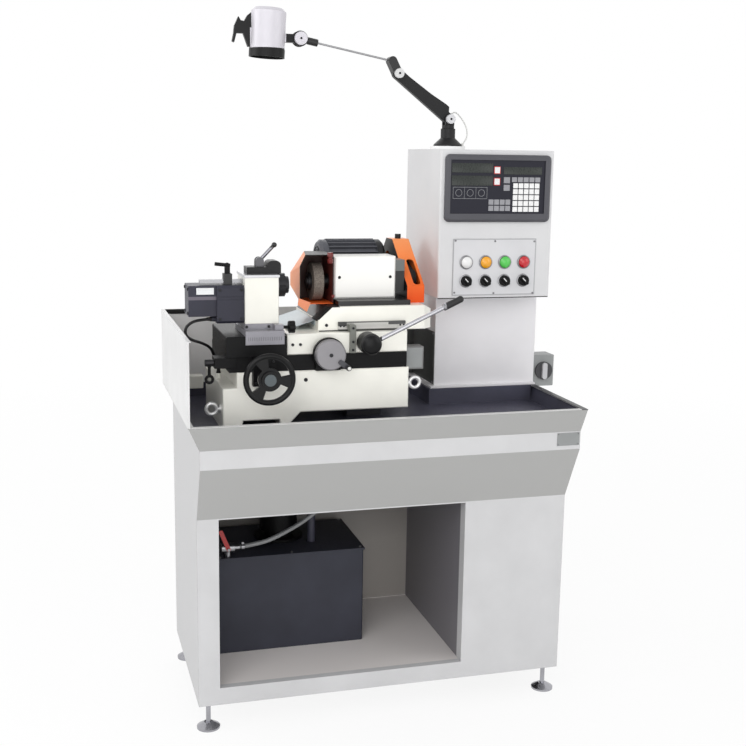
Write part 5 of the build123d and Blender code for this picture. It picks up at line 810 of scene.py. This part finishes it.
@dataclass(frozen=True)
class Route:
    """A cord's control points, with its thickness and its length."""

    name: str
    points: tuple[Point, ...]
    diameter: float
    length: float

    def curve(self, radius: float) -> Piece:
        """A smooth open spline along the route.

        Args:
            radius: The radius of the tube round it, or 0 for a bare line.

        Returns:
            The curve object.
        """
        data = bpy.data.curves.new(self.name, "CURVE")
        data.dimensions = "3D"
        data.bevel_depth = radius * MM
        data.bevel_resolution = TUBE_FACETS
        data.resolution_u = SPLINE_STEPS
        data.use_fill_caps = radius > 0
        spline = data.splines.new("NURBS")
        spline.points.add(len(self.points) - 1)
        for knot, point in zip(spline.points, self.points):
            knot.co = (*mm(*point), 1.0)
        spline.order_u = 3
        spline.use_endpoint_u = True
        return link(self.name, data)

    def path(self) -> list[Vector]:
        """Reads points along the route's own spline.

        Returns:
            The points in metres.
        """
        line = self.curve(0.0)
        mesh = bpy.data.meshes.new_from_object(line)
        points = [vertex.co.copy() for vertex in mesh.vertices]
        bpy.data.objects.remove(line)
        bpy.data.meshes.remove(mesh)
        return points

    def tube(self) -> Piece:
        """Makes the route's tube as a mesh.

        Returns:
            The new piece.
        """
        take(self.curve(self.diameter / 2))
        bpy.ops.object.convert(target="MESH")
        piece = bpy.context.view_layer.objects.active
        piece.name = self.name
        mend(piece)
        return piece

    def run(self, node: str, finish: Finish, carrier: str, outlet: Point) -> None:
        """Puts a tube in a node's place and hides the node.

        Args:
            node: The node that it replaces.
            finish: Its finish.
            carrier: The body that the log names as holding its first end.
            outlet: The point that the cord leaves the machine at; not used.
        """
        tube = self.tube()
        tube.data.materials.append(finish.material())
        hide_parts(node)
        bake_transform(tube)
        self.path()
        log.info("%s runs from %s to %s", tube.name, carrier, ROOT)


@dataclass
class Studio:
    """The camera, the lamps, the floor and the plain surroundings."""

    place: Point = (-0.83569, -2.85009, 1.41309)
    yaw: float = 16.0623
    pitch: float = 10.6459
    roll: float = 0.9032
    lens: float = 55.54
    sensor: float = 36.0
    floor_size: float = 60.0
    floor_grey: float = 0.95
    floor_glow: Pair = (0.88, 1.0)
    floor_fade: Pair = (1.0, 4.5)
    sky: float = 0.62
    target: Point = (0.0, 0.0, 0.95)
    lamps: tuple[tuple[str, Point, float, float], ...] = (
        ("key_lamp", (-2.4, -3.2, 3.4), 2.6, 50.0), ("left_lamp", (-4.0, 0.4, 2.3), 2.4, 46.0),
        ("front_lamp", (-0.4, -4.4, 1.4), 3.0, 41.0), ("side_lamp", (3.0, -2.2, 2.4), 2.4, 22.0),
        ("back_lamp", (0.4, 3.4, 2.8), 2.6, 22.0))

    def build(self) -> None:
        """Sets up the view, the surroundings, the floor and the lamps."""
        bpy.context.scene.view_settings.view_transform = "Standard"
        self.camera()
        self.world()
        self.floor()
        self.hang_lamps()

    def camera(self) -> None:
        """Puts the camera where the photograph was taken from."""
        yaw, pitch, roll = (math.radians(angle) for angle in (self.yaw, self.pitch, self.roll))
        ahead = Vector((math.sin(yaw) * math.cos(pitch), math.cos(yaw) * math.cos(pitch), -math.sin(pitch)))
        right = Vector((math.cos(yaw), -math.sin(yaw), 0.0))
        up = right.cross(ahead)
        tilted = math.cos(roll) * right + math.sin(roll) * up
        raised = math.cos(roll) * up - math.sin(roll) * right
        data = bpy.data.cameras.new("camera")
        data.sensor_width = self.sensor
        data.lens = self.lens
        made = link("camera", data)
        facing = Matrix((tilted, raised, -ahead)).transposed().to_4x4()
        made.matrix_world = Matrix.Translation(Vector(self.place)) @ facing
        bpy.context.scene.camera = made

    def seen(self, graph: Graph) -> Socket:
        """A mask for what the camera sees straight, mirrored or through glass.

        Args:
            graph: The tree to add to.

        Returns:
            The mask's socket.
        """
        rays = graph.add("LightPath").outputs
        mirrored = graph.math("MAXIMUM", rays["Is Camera Ray"], rays["Is Glossy Ray"])
        return graph.math("MAXIMUM", mirrored, rays["Is Transmission Ray"])

    def world(self) -> None:
        """Makes even surroundings that look white."""
        made = bpy.data.worlds.new("plain_surroundings")
        made.use_nodes = True
        graph = Graph(made.node_tree)
        level = graph.blend(self.seen(graph), self.sky, 1.0)
        light = graph.add("Background", {"Color": WHITE, "Strength": level})
        graph.close("OutputWorld", light.outputs[0])
        bpy.context.scene.world = made

    def floor(self) -> None:
        """Lays a pale floor that keeps the machine's shadow and fades to white."""
        deselect()
        bpy.ops.mesh.primitive_plane_add(size=self.floor_size)
        piece = adopt("pale_floor")
        made = bpy.data.materials.new("floor_pale")
        made.use_nodes = True
        graph = Graph(made.node_tree)
        matt = graph.add("BsdfDiffuse", {"Color": (*[self.floor_grey] * 3, 1.0)})
        glow = graph.add("Emission", {"Color": WHITE, "Strength": 1.0})
        reach = graph.add("VectorMath", {0: graph.add("TexCoord").outputs["Object"]}, operation="LENGTH")
        white = graph.spread(reach.outputs["Value"], *self.floor_glow, *self.floor_fade)
        share = graph.math("MULTIPLY", self.seen(graph), white)
        both = graph.add("MixShader", {0: share, 1: matt.outputs[0], 2: glow.outputs[0]})
        graph.close("OutputMaterial", both.outputs[0])
        piece.data.materials.append(made)

    def hang_lamps(self) -> None:
        """Hangs soft lamps that look at the machine."""
        for name, place, size, power in self.lamps:
            data = bpy.data.lights.new(name, "AREA")
            data.size = size
            data.energy = power
            made = link(name, data)
            made.location = place
            made.rotation_euler = (Vector(self.target) - Vector(place)).to_track_quat("-Z", "Y").to_euler()


Coats = tuple[tuple[str, Finish], ...]


def by_node(**finishes: Finish) -> Coats:
    """The names of nodes with their finishes."""
    return tuple(finishes.items())


@dataclass
class Assembly:
    """A sub-assembly of the grinder: the finishes of its nodes, and its sizes and new pieces as further fields."""

    coats: Coats = ()

    def paint(self) -> None:
        """Gives the nodes of the frame their finishes."""
        for name, finish in self.coats:
            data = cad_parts[name].data
            if not data.materials:
                data.materials.append(None)
            for index in range(len(data.materials)):
                data.materials[index] = finish.material()

    def build(self) -> None:
        """Paints the nodes, then models the new pieces and dresses them, in the order of the fields."""
        self.paint()
        for value in vars(self).values():
            for part in value if isinstance(value, tuple) else (value,):
                if isinstance(part, Part):
                    place(part.make(), part.finish, part.body)


@dataclass
class Stand(Assembly):
    """The cabinet with its tray, drip pan, splash guard and feet."""

    coats: Coats = by_node(cabinet=CABINET_COAT, tray=TRAY_COAT, splash_guard=GUARD_COAT, drip_pan=PAN_ENAMEL,
                           levelling_feet=FOOT_PLATE)
    band_front: float = -273.0
    band_plate: Part = Panel("band_plate", (391, band_front - 1, 704), (452, band_front, 737), edge=0.4, rim=1.8,
                             rise=-0.25, finish=GREY_MOULD)
    band_rivets: Part = Screws("band_plate_rivets", grid((394.2, 448.8), (band_front - 0.9,), (707.2, 733.8)),
                               radius=1.5, finish=STEEL)
    strip_low: float = 985.0
    guard_strip: Part = Block("guard_strip", (-523, 279.6, strip_low), (-400, 282, 997.8), edge=0.9, finish=BELT)
    # painted shade: a dark sheet on the rear guard's inner face, where the gap beside the machine lies in shadow
    guard_lining: Part = Panel("guard_lining", (18, 280.2, 806), (154, 282, strip_low), edge=0.5, rim=8, rise=-0.4,
                               finish=PANEL_DARK)
    corner_box: Part = Panel("guard_corner_box", (-530.5, 166, 799), (-437, 200, 833), edge=1.6, rim=3, rise=-0.5,
                             finish=WORKHEAD_WHITE)
    cover_face: float = 455.0
    side_cover: Part = Panel("side_cover", (cover_face, -120, 180), (cover_face + 1.8, 220, 520), edge=0.6, rim=14,
                             rise=0.5, way=Way.RIGHT, finish=SHEET_COAT)
    cover_screws: Part = Screws("side_cover_screws", grid((cover_face + 1.7,), (-113, 50, 213), (187, 513)),
                                radius=4, height=2.4, way=Way.RIGHT, finish=STEEL)


READOUT_FACE = -29.5
LINE_RISE = 0.25
SWITCH_X = 228.0
SWITCH_PITCH = 53.9
SELECTOR_Z = 1096.0
KNOB_FRONT = -38.8
MARK_ANGLE = 45.0


def cap(name: str, sides: Pair, heights: Pair, out: float, dish: float = -0.2, **dress: object) -> Panel:
    """A small cap that stands out of the readout's panel and has a dished front."""
    low, high = (sides[0], READOUT_FACE - out, heights[0]), (sides[1], READOUT_FACE, heights[1])
    return Panel(name, low, high, edge=0.35, rim=1.0, rise=dish, **dress)


def bar(sides: Pair, heights: Pair, **dress: object) -> Block:
    """A printed line on the readout's panel."""
    low, high = (sides[0], READOUT_FACE - LINE_RISE, heights[0]), (sides[1], READOUT_FACE, heights[1])
    return Block("panel_lines", low, high, edge=0.08, facets=1, **dress)


def selector_mark(index: int) -> Block:
    """The pale mark on a selector's bar.

    Args:
        index: The selector's number, counted from the left.

    Returns:
        The mark, turned as the bar stands.
    """
    x = SWITCH_X + SWITCH_PITCH * (index - 1)
    low, high = (x - 11, KNOB_FRONT - 0.3, SELECTOR_Z - 1.1), (x + 1, KNOB_FRONT + 0.2, SELECTOR_Z + 1.1)
    return Block(f"selector_mark_{index}", low, high, edge=0.25, facets=1, finish=KEY_WHITE, body=f"selector_{index}",
                 turn=swing(MARK_ANGLE, (x, KNOB_FRONT, SELECTOR_Z)))


@dataclass
class ControlColumn(Assembly):
    """The column with the control box, its readout with windows and keys, its switches and its lights."""

    coats: Coats = by_node(column=COLUMN_COAT, control_box=BOX_COAT, readout_console=CASE_GREY,
                           control_plate=PLATE_SATIN, pilot_lights=LENSES, isolator_box=GREY_MOULD,
                           isolator_knob=ISOLATOR_GREY,
                           **{f"selector_knob_{index}": BLACK_MOULD for index in range(1, 5)})
    windows: Part = cap(
        "readout_windows", (178, 290.5), (1376.5, 1400.5), out=1.2, dish=-0.6, finish=WINDOW_GLASS,
        joined=(cap("window_low", (178, 291), (1343.5, 1369), out=1.2, dish=-0.6),
                cap("window_text", (320.5, 428), (1373, 1392), out=1, dish=-0.5)))
    axis_drop: tuple[Matrix, ...] = (shift(z=-29.2),)
    axis_rims: Part = cap("axis_key_rims", (293.8, 311.5), (1374, 1393.2), out=1, dish=-0.4, finish=KEY_RED,
                          copies=axis_drop)
    axis_keys: Part = cap("axis_keys", (295.5, 309.8), (1375.8, 1391.4), out=1.6, finish=KEY_WHITE, copies=axis_drop)
    mode_keys: Part = cap("mode_keys", (321.5, 338.5), (1350.5, 1366), out=1.5, finish=KEY_GREY,
                          copies=(shift(z=-19.5),))
    function_keys: Part = cap("function_keys", (344, 358), (1353.5, 1366), out=1.5, finish=KEY_GREY,
                              copies=rows(16.4, 5))
    entry_keys: Part = cap("entry_keys", (281, 294.5), (1279, 1292.5), out=1.5, finish=KEY_GREY,
                           copies=rows(15.6, 4, up=16.0, lines=2))
    frame_sides: Pair = (182.5, 276.5)
    frame_heights: Pair = (1310, 1339.8)
    diagram: Part = bar(
        frame_sides, (1339, 1339.8), finish=INK_GREY,
        joined=(bar(frame_sides, (1310, 1310.8)), bar((182.5, 183.3), frame_heights),
                bar((275.7, 276.5), frame_heights), bar((213.5, 214.1), frame_heights),
                bar((245.1, 245.7), frame_heights),
                Round("cell_marks", ((0, 8.2), (LINE_RISE, 8.2), (LINE_RISE, 9), (0, 9)), (198.4, READOUT_FACE, 1325),
                      Way.FRONT, 24, copies=rows(31.2, 3))))
    plate_face: float = -20.5
    pilot_rings: Part = Round(
        "pilot_rings", ((0, 15.5), (3.2, 15.5), (3.8, 16.2), (3.2, 18), (0, 18.6), (0, 15.5)),
        (SWITCH_X, plate_face, 1145), Way.FRONT, finish=STEEL, copies=rows(SWITCH_PITCH, 4))
    plate_screws: Part = Screws(
        "plate_screws",
        ((196.8, plate_face, 1202), (307, plate_face, 1200), (418.5, plate_face, 1199), (196.8, plate_face, 1066),
         (307, plate_face, 1063), (418.5, plate_face, 1062)), radius=2.6, finish=STEEL)
    selector_rings: Part = Round(
        "selector_rings", ((0, 14.2), (1.6, 14.2), (2, 14.8), (1.4, 17.4), (0, 17.8), (0, 14.2)),
        (SWITCH_X, plate_face, SELECTOR_Z), Way.FRONT, finish=STEEL, copies=rows(SWITCH_PITCH, 4))
    selector_marks: tuple[Part, ...] = tuple(selector_mark(index) for index in range(1, 5))
    rear_cover: Part = Panel("box_rear_cover", (172, 264.5, 1075), (446, 266, 1418), edge=0.5, rim=12, rise=0.6,
                             way=Way.BACK, finish=BOX_COAT)
    rear_screws: Part = Screws("box_rear_screws", grid((178, 309, 440), (265.9,), (1081, 1412)), radius=3.6,
                               height=2.2, way=Way.BACK, finish=STEEL)
    # painted shade: a dark panel on the column's left side, which lies in shadow
    side_panel: Part = Panel("column_side_panel", (172.6, 63, 806), (175, 262, 950), edge=0.6, rim=9, rise=0.5,
                             way=Way.LEFT, finish=PANEL_DARK)
    # painted shade: a dark block at the column's left rear, standing in for the shadow there
    duct: Part = Panel("column_duct", (159, 236, 806), (175, 263, 1049), edge=1.2, rim=2.5, rise=-0.4,
                       finish=PANEL_DARK)
    # painted shadow: a dark strip under the control box's front edge
    edge_strip: Part = Block("box_edge_strip", (153, -18.3, 1049.6), (465, -14, 1052), edge=0.5, finish=BELT)
    side_screws: Part = Screws("column_side_screws", grid((172.7,), (68, 257), (811, 945)), radius=3, height=1.8,
                               way=Way.LEFT, finish=STEEL)


@dataclass
class MachineBase(Assembly):
    """The bed casting with the black way base on it."""

    coats: Coats = by_node(bed=CREAM, way_base=WAY_BLACK, lifting_eyebolts=EYE_STEEL)
    bed_front: float = -160.0
    oil_plug: Part = Screws("oil_plug", ((-231, bed_front + 5.6, 876),), radius=4.7, height=6)
    bracket_screws: Part = Screws("bracket_screws", grid((-357, -315), (bed_front - 19.9,), (876, 928)), radius=3.2)
    end_cover: Part = Panel("end_box_cover", (35, -129.2, 890), (77, -128, 941), edge=0.5, rim=2, rise=-0.3,
                            finish=GREY_MOULD)


RING_BAR_STEPS = 12


def ring_bar(ring: float, bar_radius: float) -> Outline:
    """The half section of a ring of round bar."""
    angles = [FULL_TURN * step / RING_BAR_STEPS for step in range(RING_BAR_STEPS + 1)]
    return [(bar_radius * math.sin(angle), ring + bar_radius * math.cos(angle)) for angle in angles]


@dataclass
class WorkSide(Assembly):
    """The cross table with the workhead, its motor and its levers."""

    coats: Coats = by_node(
        work_table=BLACK_ENAMEL, collet_closer=CLOSER_BLACK, swivel_base=GREY_IRON, swivel_knob=BLACK_MOULD,
        toggle_handle=BLACK_MOULD, workhead=WORKHEAD_WHITE, work_motor=SLATE, toggle_clamp=TOGGLE_STEEL,
        work_spindle=STEEL, feed_screw=STEEL, work_chuck=DARK_STEEL, table_clamp_lever=DARK_STEEL,
        feed_handwheel=HANDWHEEL_BLACK, collet_lever=BALL_LEVER)
    cable: Route = Route("work_motor_cable", (
        (-451, -92.5, 1021.5), (-472, -93.5, 1020.5), (-496, -94.5, 1016.5), (-513, -95.5, 1003.5),
        (-514, -94.5, 983.5), (-497, -92.5, 970.5), (-472, -86.5, 962.5), (-449, -72.5, 947.5), (-439, -56, 923),
        (-428, -31, 902), (-424, -22, 877)), 7.0, 253.8)
    scale_front: float = -170.0
    swivel_ticks: Part = Block("swivel_ticks", (-373, scale_front - 0.15, 977), (-372.4, scale_front + 0.1, 986),
                               edge=0.05, facets=1, finish=BLACK_MOULD, body="table", copies=rows(4.4, 19))
    swivel_screws: Part = Screws("swivel_screws", grid((-372, -318), (-136.9,), (1006.5,)), radius=3.4, body="table")
    motor_front: float = -111.0
    motor_plate: Part = Panel("motor_plate", (-488, motor_front - 0.7, 1083), (-446, motor_front, 1099), edge=0.3,
                              rim=1.2, rise=-0.2, finish=SCALE_PALE, body="table")
    end_screws: Part = Screws("motor_end_screws", grid((-507,), (-103, -45), (1038, 1096)), radius=4, height=2.6,
                              way=Way.LEFT, body="table")
    flange_screws: Part = Screws("motor_flange_screws", grid((-433, -381), (-119.5,), (1024, 1094)), radius=3.2,
                                 body="table")
    sleeve: Outline = ((0, 4), (0, 5.8), (3, 5.8), (4, 5), (12, 4.2), (12, 3.6), (0, 4))
    motor_sleeve: Part = Round("cable_sleeve_motor", sleeve, (-450, -92.5, 1021.5), Way.LEFT, 20, finish=CABLE,
                               body="table")
    bed_sleeve: Part = Round("cable_sleeve_bed", sleeve, (-424, -22, 875), Way.UP, 20, finish=CABLE)
    clamp_x: float = -463.8
    clamp_y: float = -144.667
    clamp_grip: Part = Round(
        "clamp_lever_grip", ((0, 2.7), (0, 4.2), (8, 3.6), (20, 3.8), (25, 5), (25, 2.7), (0, 2.7)),
        (clamp_x, clamp_y, 891), Way.UP, 20, finish=BLACK_MOULD, body="clamp",
        joined=(Round("clamp_ring_grip", ring_bar(8.2, 3.5), (clamp_x, clamp_y, 883), Way.BACK),))

    def run_cable(self) -> None:
        """Runs the motor's cable down to the bed."""
        self.cable.run("motor_cable", CABLE, "table", self.cable.points[0])


GRILLE_BAR = ((0, 0), (1.6, 0), (1.6, 3), (0, 3), (0, 0))


def grille(name: str, foot: Point, radii: Sequence[float], **dress: object) -> Round:
    """A grille of flat rings round one axis, which looks to the left.

    Args:
        name: The piece's name.
        foot: The point on the axis that the rings stand on.
        radii: The inner radii of the rings.
        dress: The finish and the body.

    Returns:
        The first ring, with the others joined to it.
    """
    outlines = [[(reach, radius + out) for reach, out in GRILLE_BAR] for radius in radii]
    first, *others = (Round(name, outline, foot, Way.LEFT, 36) for outline in outlines)
    return replace(first, joined=tuple(others), **dress)


@dataclass
class WheelSide(Assembly):
    """The saddle and slide with the wheelhead, its guards, its drive and its levers."""

    coats: Coats = by_node(
        saddle=CREAM, wheel_slide=SLIDE_CREAM, reader_bracket=READER_GREY, linear_scale=SCALE_GREY,
        wheelhead=HEAD_WHITE, wheel_motor=MOTOR_GREY, belt_cover=ORANGE, wheel_guard=HOOD_ORANGE,
        grinding_wheel=ABRASIVE, wheel_spindle=DARK_STEEL, motor_pulley=STEEL, cross_screw=STEEL, drive_belt=BELT,
        slide_lever=CHROME_LEVER, graduated_dial=DIAL_IRON)
    hub_dome: Part = Round(
        "lever_hub_dome", ((0, 0), (0, 23), (2.5, 22.4), (5, 19), (7, 12.5), (7.8, 6), (8, 0)), (-76, -198, 964),
        Way.FRONT, 36, finish=HUB_BLACK, body="lever")
    ferrule: Part = Round(
        "lever_ferrule", ((0, 5.6), (0, 7.4), (1.5, 8.6), (7, 8.6), (7, 5.6), (0, 5.6)), (127, -188, 964), Way.RIGHT,
        finish=STEEL, body="lever", turn=swing(-24.8, (-76, -188, 964)))
    dial_ticks: Part = Block("dial_ticks", (-177.3, -194.8, 978.4), (-176.7, -189.5, 978.62), edge=0.05, facets=1,
                             finish=BLACK_MOULD, body="dial", copies=circle((-177, 0, 941), 60))
    dial_plug: Part = Screws("dial_plug", ((-177, -197.3, 941),), radius=4.8, height=1.4, body="dial")
    head_screws: Part = Screws("wheelhead_screws", grid((-123, 10), (-54.2,), (1114,)), radius=3.8, height=3.6,
                               body="slide")
    hood_knobs: Part = Round(
        "hood_knobs", ((0, 0), (0, 5.6), (2, 7), (9, 7.4), (11, 5.2), (15, 5.2), (17, 7.6), (25, 7.6), (27, 6.2),
                       (27.4, 0)), (-151, -72.6, 1151), Way.UP, finish=KNOB_RED, body="slide",
        joined=(Round("hood_knob_low", ((0, 0), (0, 4.4), (4, 4.4), (5.4, 3.2), (5.8, 0)), (-142, -65, 1068),
                      Way.FRONT, 20),))
    fan_grille: Part = grille("fan_grille", (-142, 110, 1139), (38, 30, 22, 14), finish=BLACK_MOULD, body="slide")
    cover_screws: Part = Screws("cover_screws", ((98, -58, 1058), (98, 60, 1058), (98, 145, 1150), (98, 80, 1190)),
                                radius=3.4, height=2.4, way=Way.RIGHT, body="slide")
    scale_screws: Part = Screws("scale_screws", grid((-137, -128.5, 17, 26), (-128,), (1001,)), radius=2.6, height=0.9,
                                body="slide")
    reader_screws: Part = Screws("reader_screws", grid((-112.5,), (-158,), (946, 966, 1000)), radius=3, body="saddle")
    slide_screw: Part = Screws("slide_screw", ((-171, -120, 1003),), radius=3.8, body="slide")
    saddle_screws: Part = Screws("saddle_screws", grid((-243, -262), (-150,), (962,)), radius=3.6, body="saddle")
    nose_wiper: Part = Block("nose_wiper", (-196, -120, 1016), (-149.5, -70, 1019.5), edge=1, finish=BELT,
                             body="slide", turn=swing(-42.4, (-192, 0, 1016)))
    # painted shadow: a dark strip along the saddle's top front edge, in the gap under the slide
    saddle_wiper: Part = Block("saddle_wiper", (-190, -123.5, 988), (27, -120.6, 990.4), edge=0.6, finish=BELT,
                               body="saddle")
    splash_sheet: Part = Block(
        "splash_sheet", (-265.4, -90, 1012.4), (-193, 110, 1013.6), edge=0.3, finish=ZINC_SHEET, body="slide",
        turn=swing(-17.7, (-193, 0, 1013)),
        joined=(Block("splash_sheet_hook", (-193.6, -90, 999), (-192.3, 110, 1013.4), edge=0.3),))


@dataclass
class CoolantSet(Assembly):
    """The coolant tank with its pump, valve and hose."""

    coats: Coats = by_node(coolant_tank=TANK_COAT, coolant_pump=BLACK_ENAMEL, coolant_valve=STEEL, valve_lever=RED_DIP)
    hose: Route = Route("coolant_hose_line", (
        (-367, 14, 402), (-306, 17, 406), (-246, 24, 428), (-188, 30, 456), (-136, 36, 494), (-105.5, 44, 542),
        (-79.5, 60, 594), (-62.5, 72, 657), (-54.5, 79, 707), (-53.5, 80, 744.5)), 12.0, 525.9)
    lid_screws: Part = Screws("lid_screws", grid((-420, -230, -41), (8, 248), (378,)), radius=3.6, height=2.4,
                              way=Way.UP, finish=STEEL)
    hose_clamp: Part = Round(
        "hose_clamp", ((0, 6.3), (0, 7.9), (0.6, 8.4), (8.4, 8.4), (9, 7.9), (9, 6.3), (0, 6.3)), (-364, 14, 402),
        Way.RIGHT, finish=STEEL,
        joined=(Block("hose_clamp_worm", (-363, 10, 409.6), (-356, 18, 414.6), edge=0.8),))

    def run_hose(self) -> None:
        """Runs the hose from the valve up to the pan."""
        hose = self.hose
        made = hose.curve(hose.diameter / 2)
        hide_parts("coolant_hose")
        place(made, HOSE)


@dataclass
class WorkLamp(Assembly):
    """The jointed lamp on the control box."""

    coats: Coats = by_node(lamp_base=LAMP_BLACK, lamp_turret=LAMP_BLACK, lamp_lower_arm=LAMP_BLACK,
                           lamp_upper_arm=LAMP_CHROME, lamp_head=LAMP_BODY)
    cord: Route = Route("lamp_cord_line", (
        (204.63, 71, 1520.93), (214.5, 71.3, 1534.3), (229.5, 71.4, 1524.3), (246, 71, 1504.3), (254, 70.5, 1483.3),
        (253.5, 70, 1466.3), (244.5, 69.5, 1453.3), (240.5, 69.5, 1445)), 3.6, 121.2)
    sleeve: Part = Round("cord_sleeve_box", ((0, 2), (0, 4.4), (2, 4.4), (3, 3.4), (9, 2.4), (9, 1.9), (0, 2)),
                         (240.5, 69.5, 1443), Way.UP, 18, finish=CORD)
    knob_screws: tuple[Part, ...] = tuple(
        Screws(f"{body}_knob_screw", (foot,), radius=2.8, height=1.2, body=body) for body, foot in (
            ("lamp_turret", (196, 35, 1512.3)), ("lamp_upper", (54.16, 35, 1623.12)),
            ("lamp_head", (-201.84, 39, 1698.62))))

    def run_cord(self) -> None:
        """Runs the lamp's cord from the turret down to the box."""
        self.cord.run("lamp_cord", CORD, "lamp_turret", self.cord.points[-1])


def main() -> None:
    """Builds the studio and the grinder's sub-assemblies in order."""
    logging.basicConfig(level=logging.INFO, format="%(message)s")
    Studio().build()
    work, coolant, lamp = WorkSide(), CoolantSet(), WorkLamp()
    coolant.run_hose()
    work.run_cable()
    lamp.run_cord()
    for assembly in (Stand(), ControlColumn(), MachineBase(), work, WheelSide(), coolant, lamp):
        assembly.build()
        log.info("%s is dressed", type(assembly).__name__)


if __name__ == "__main__":
    main()
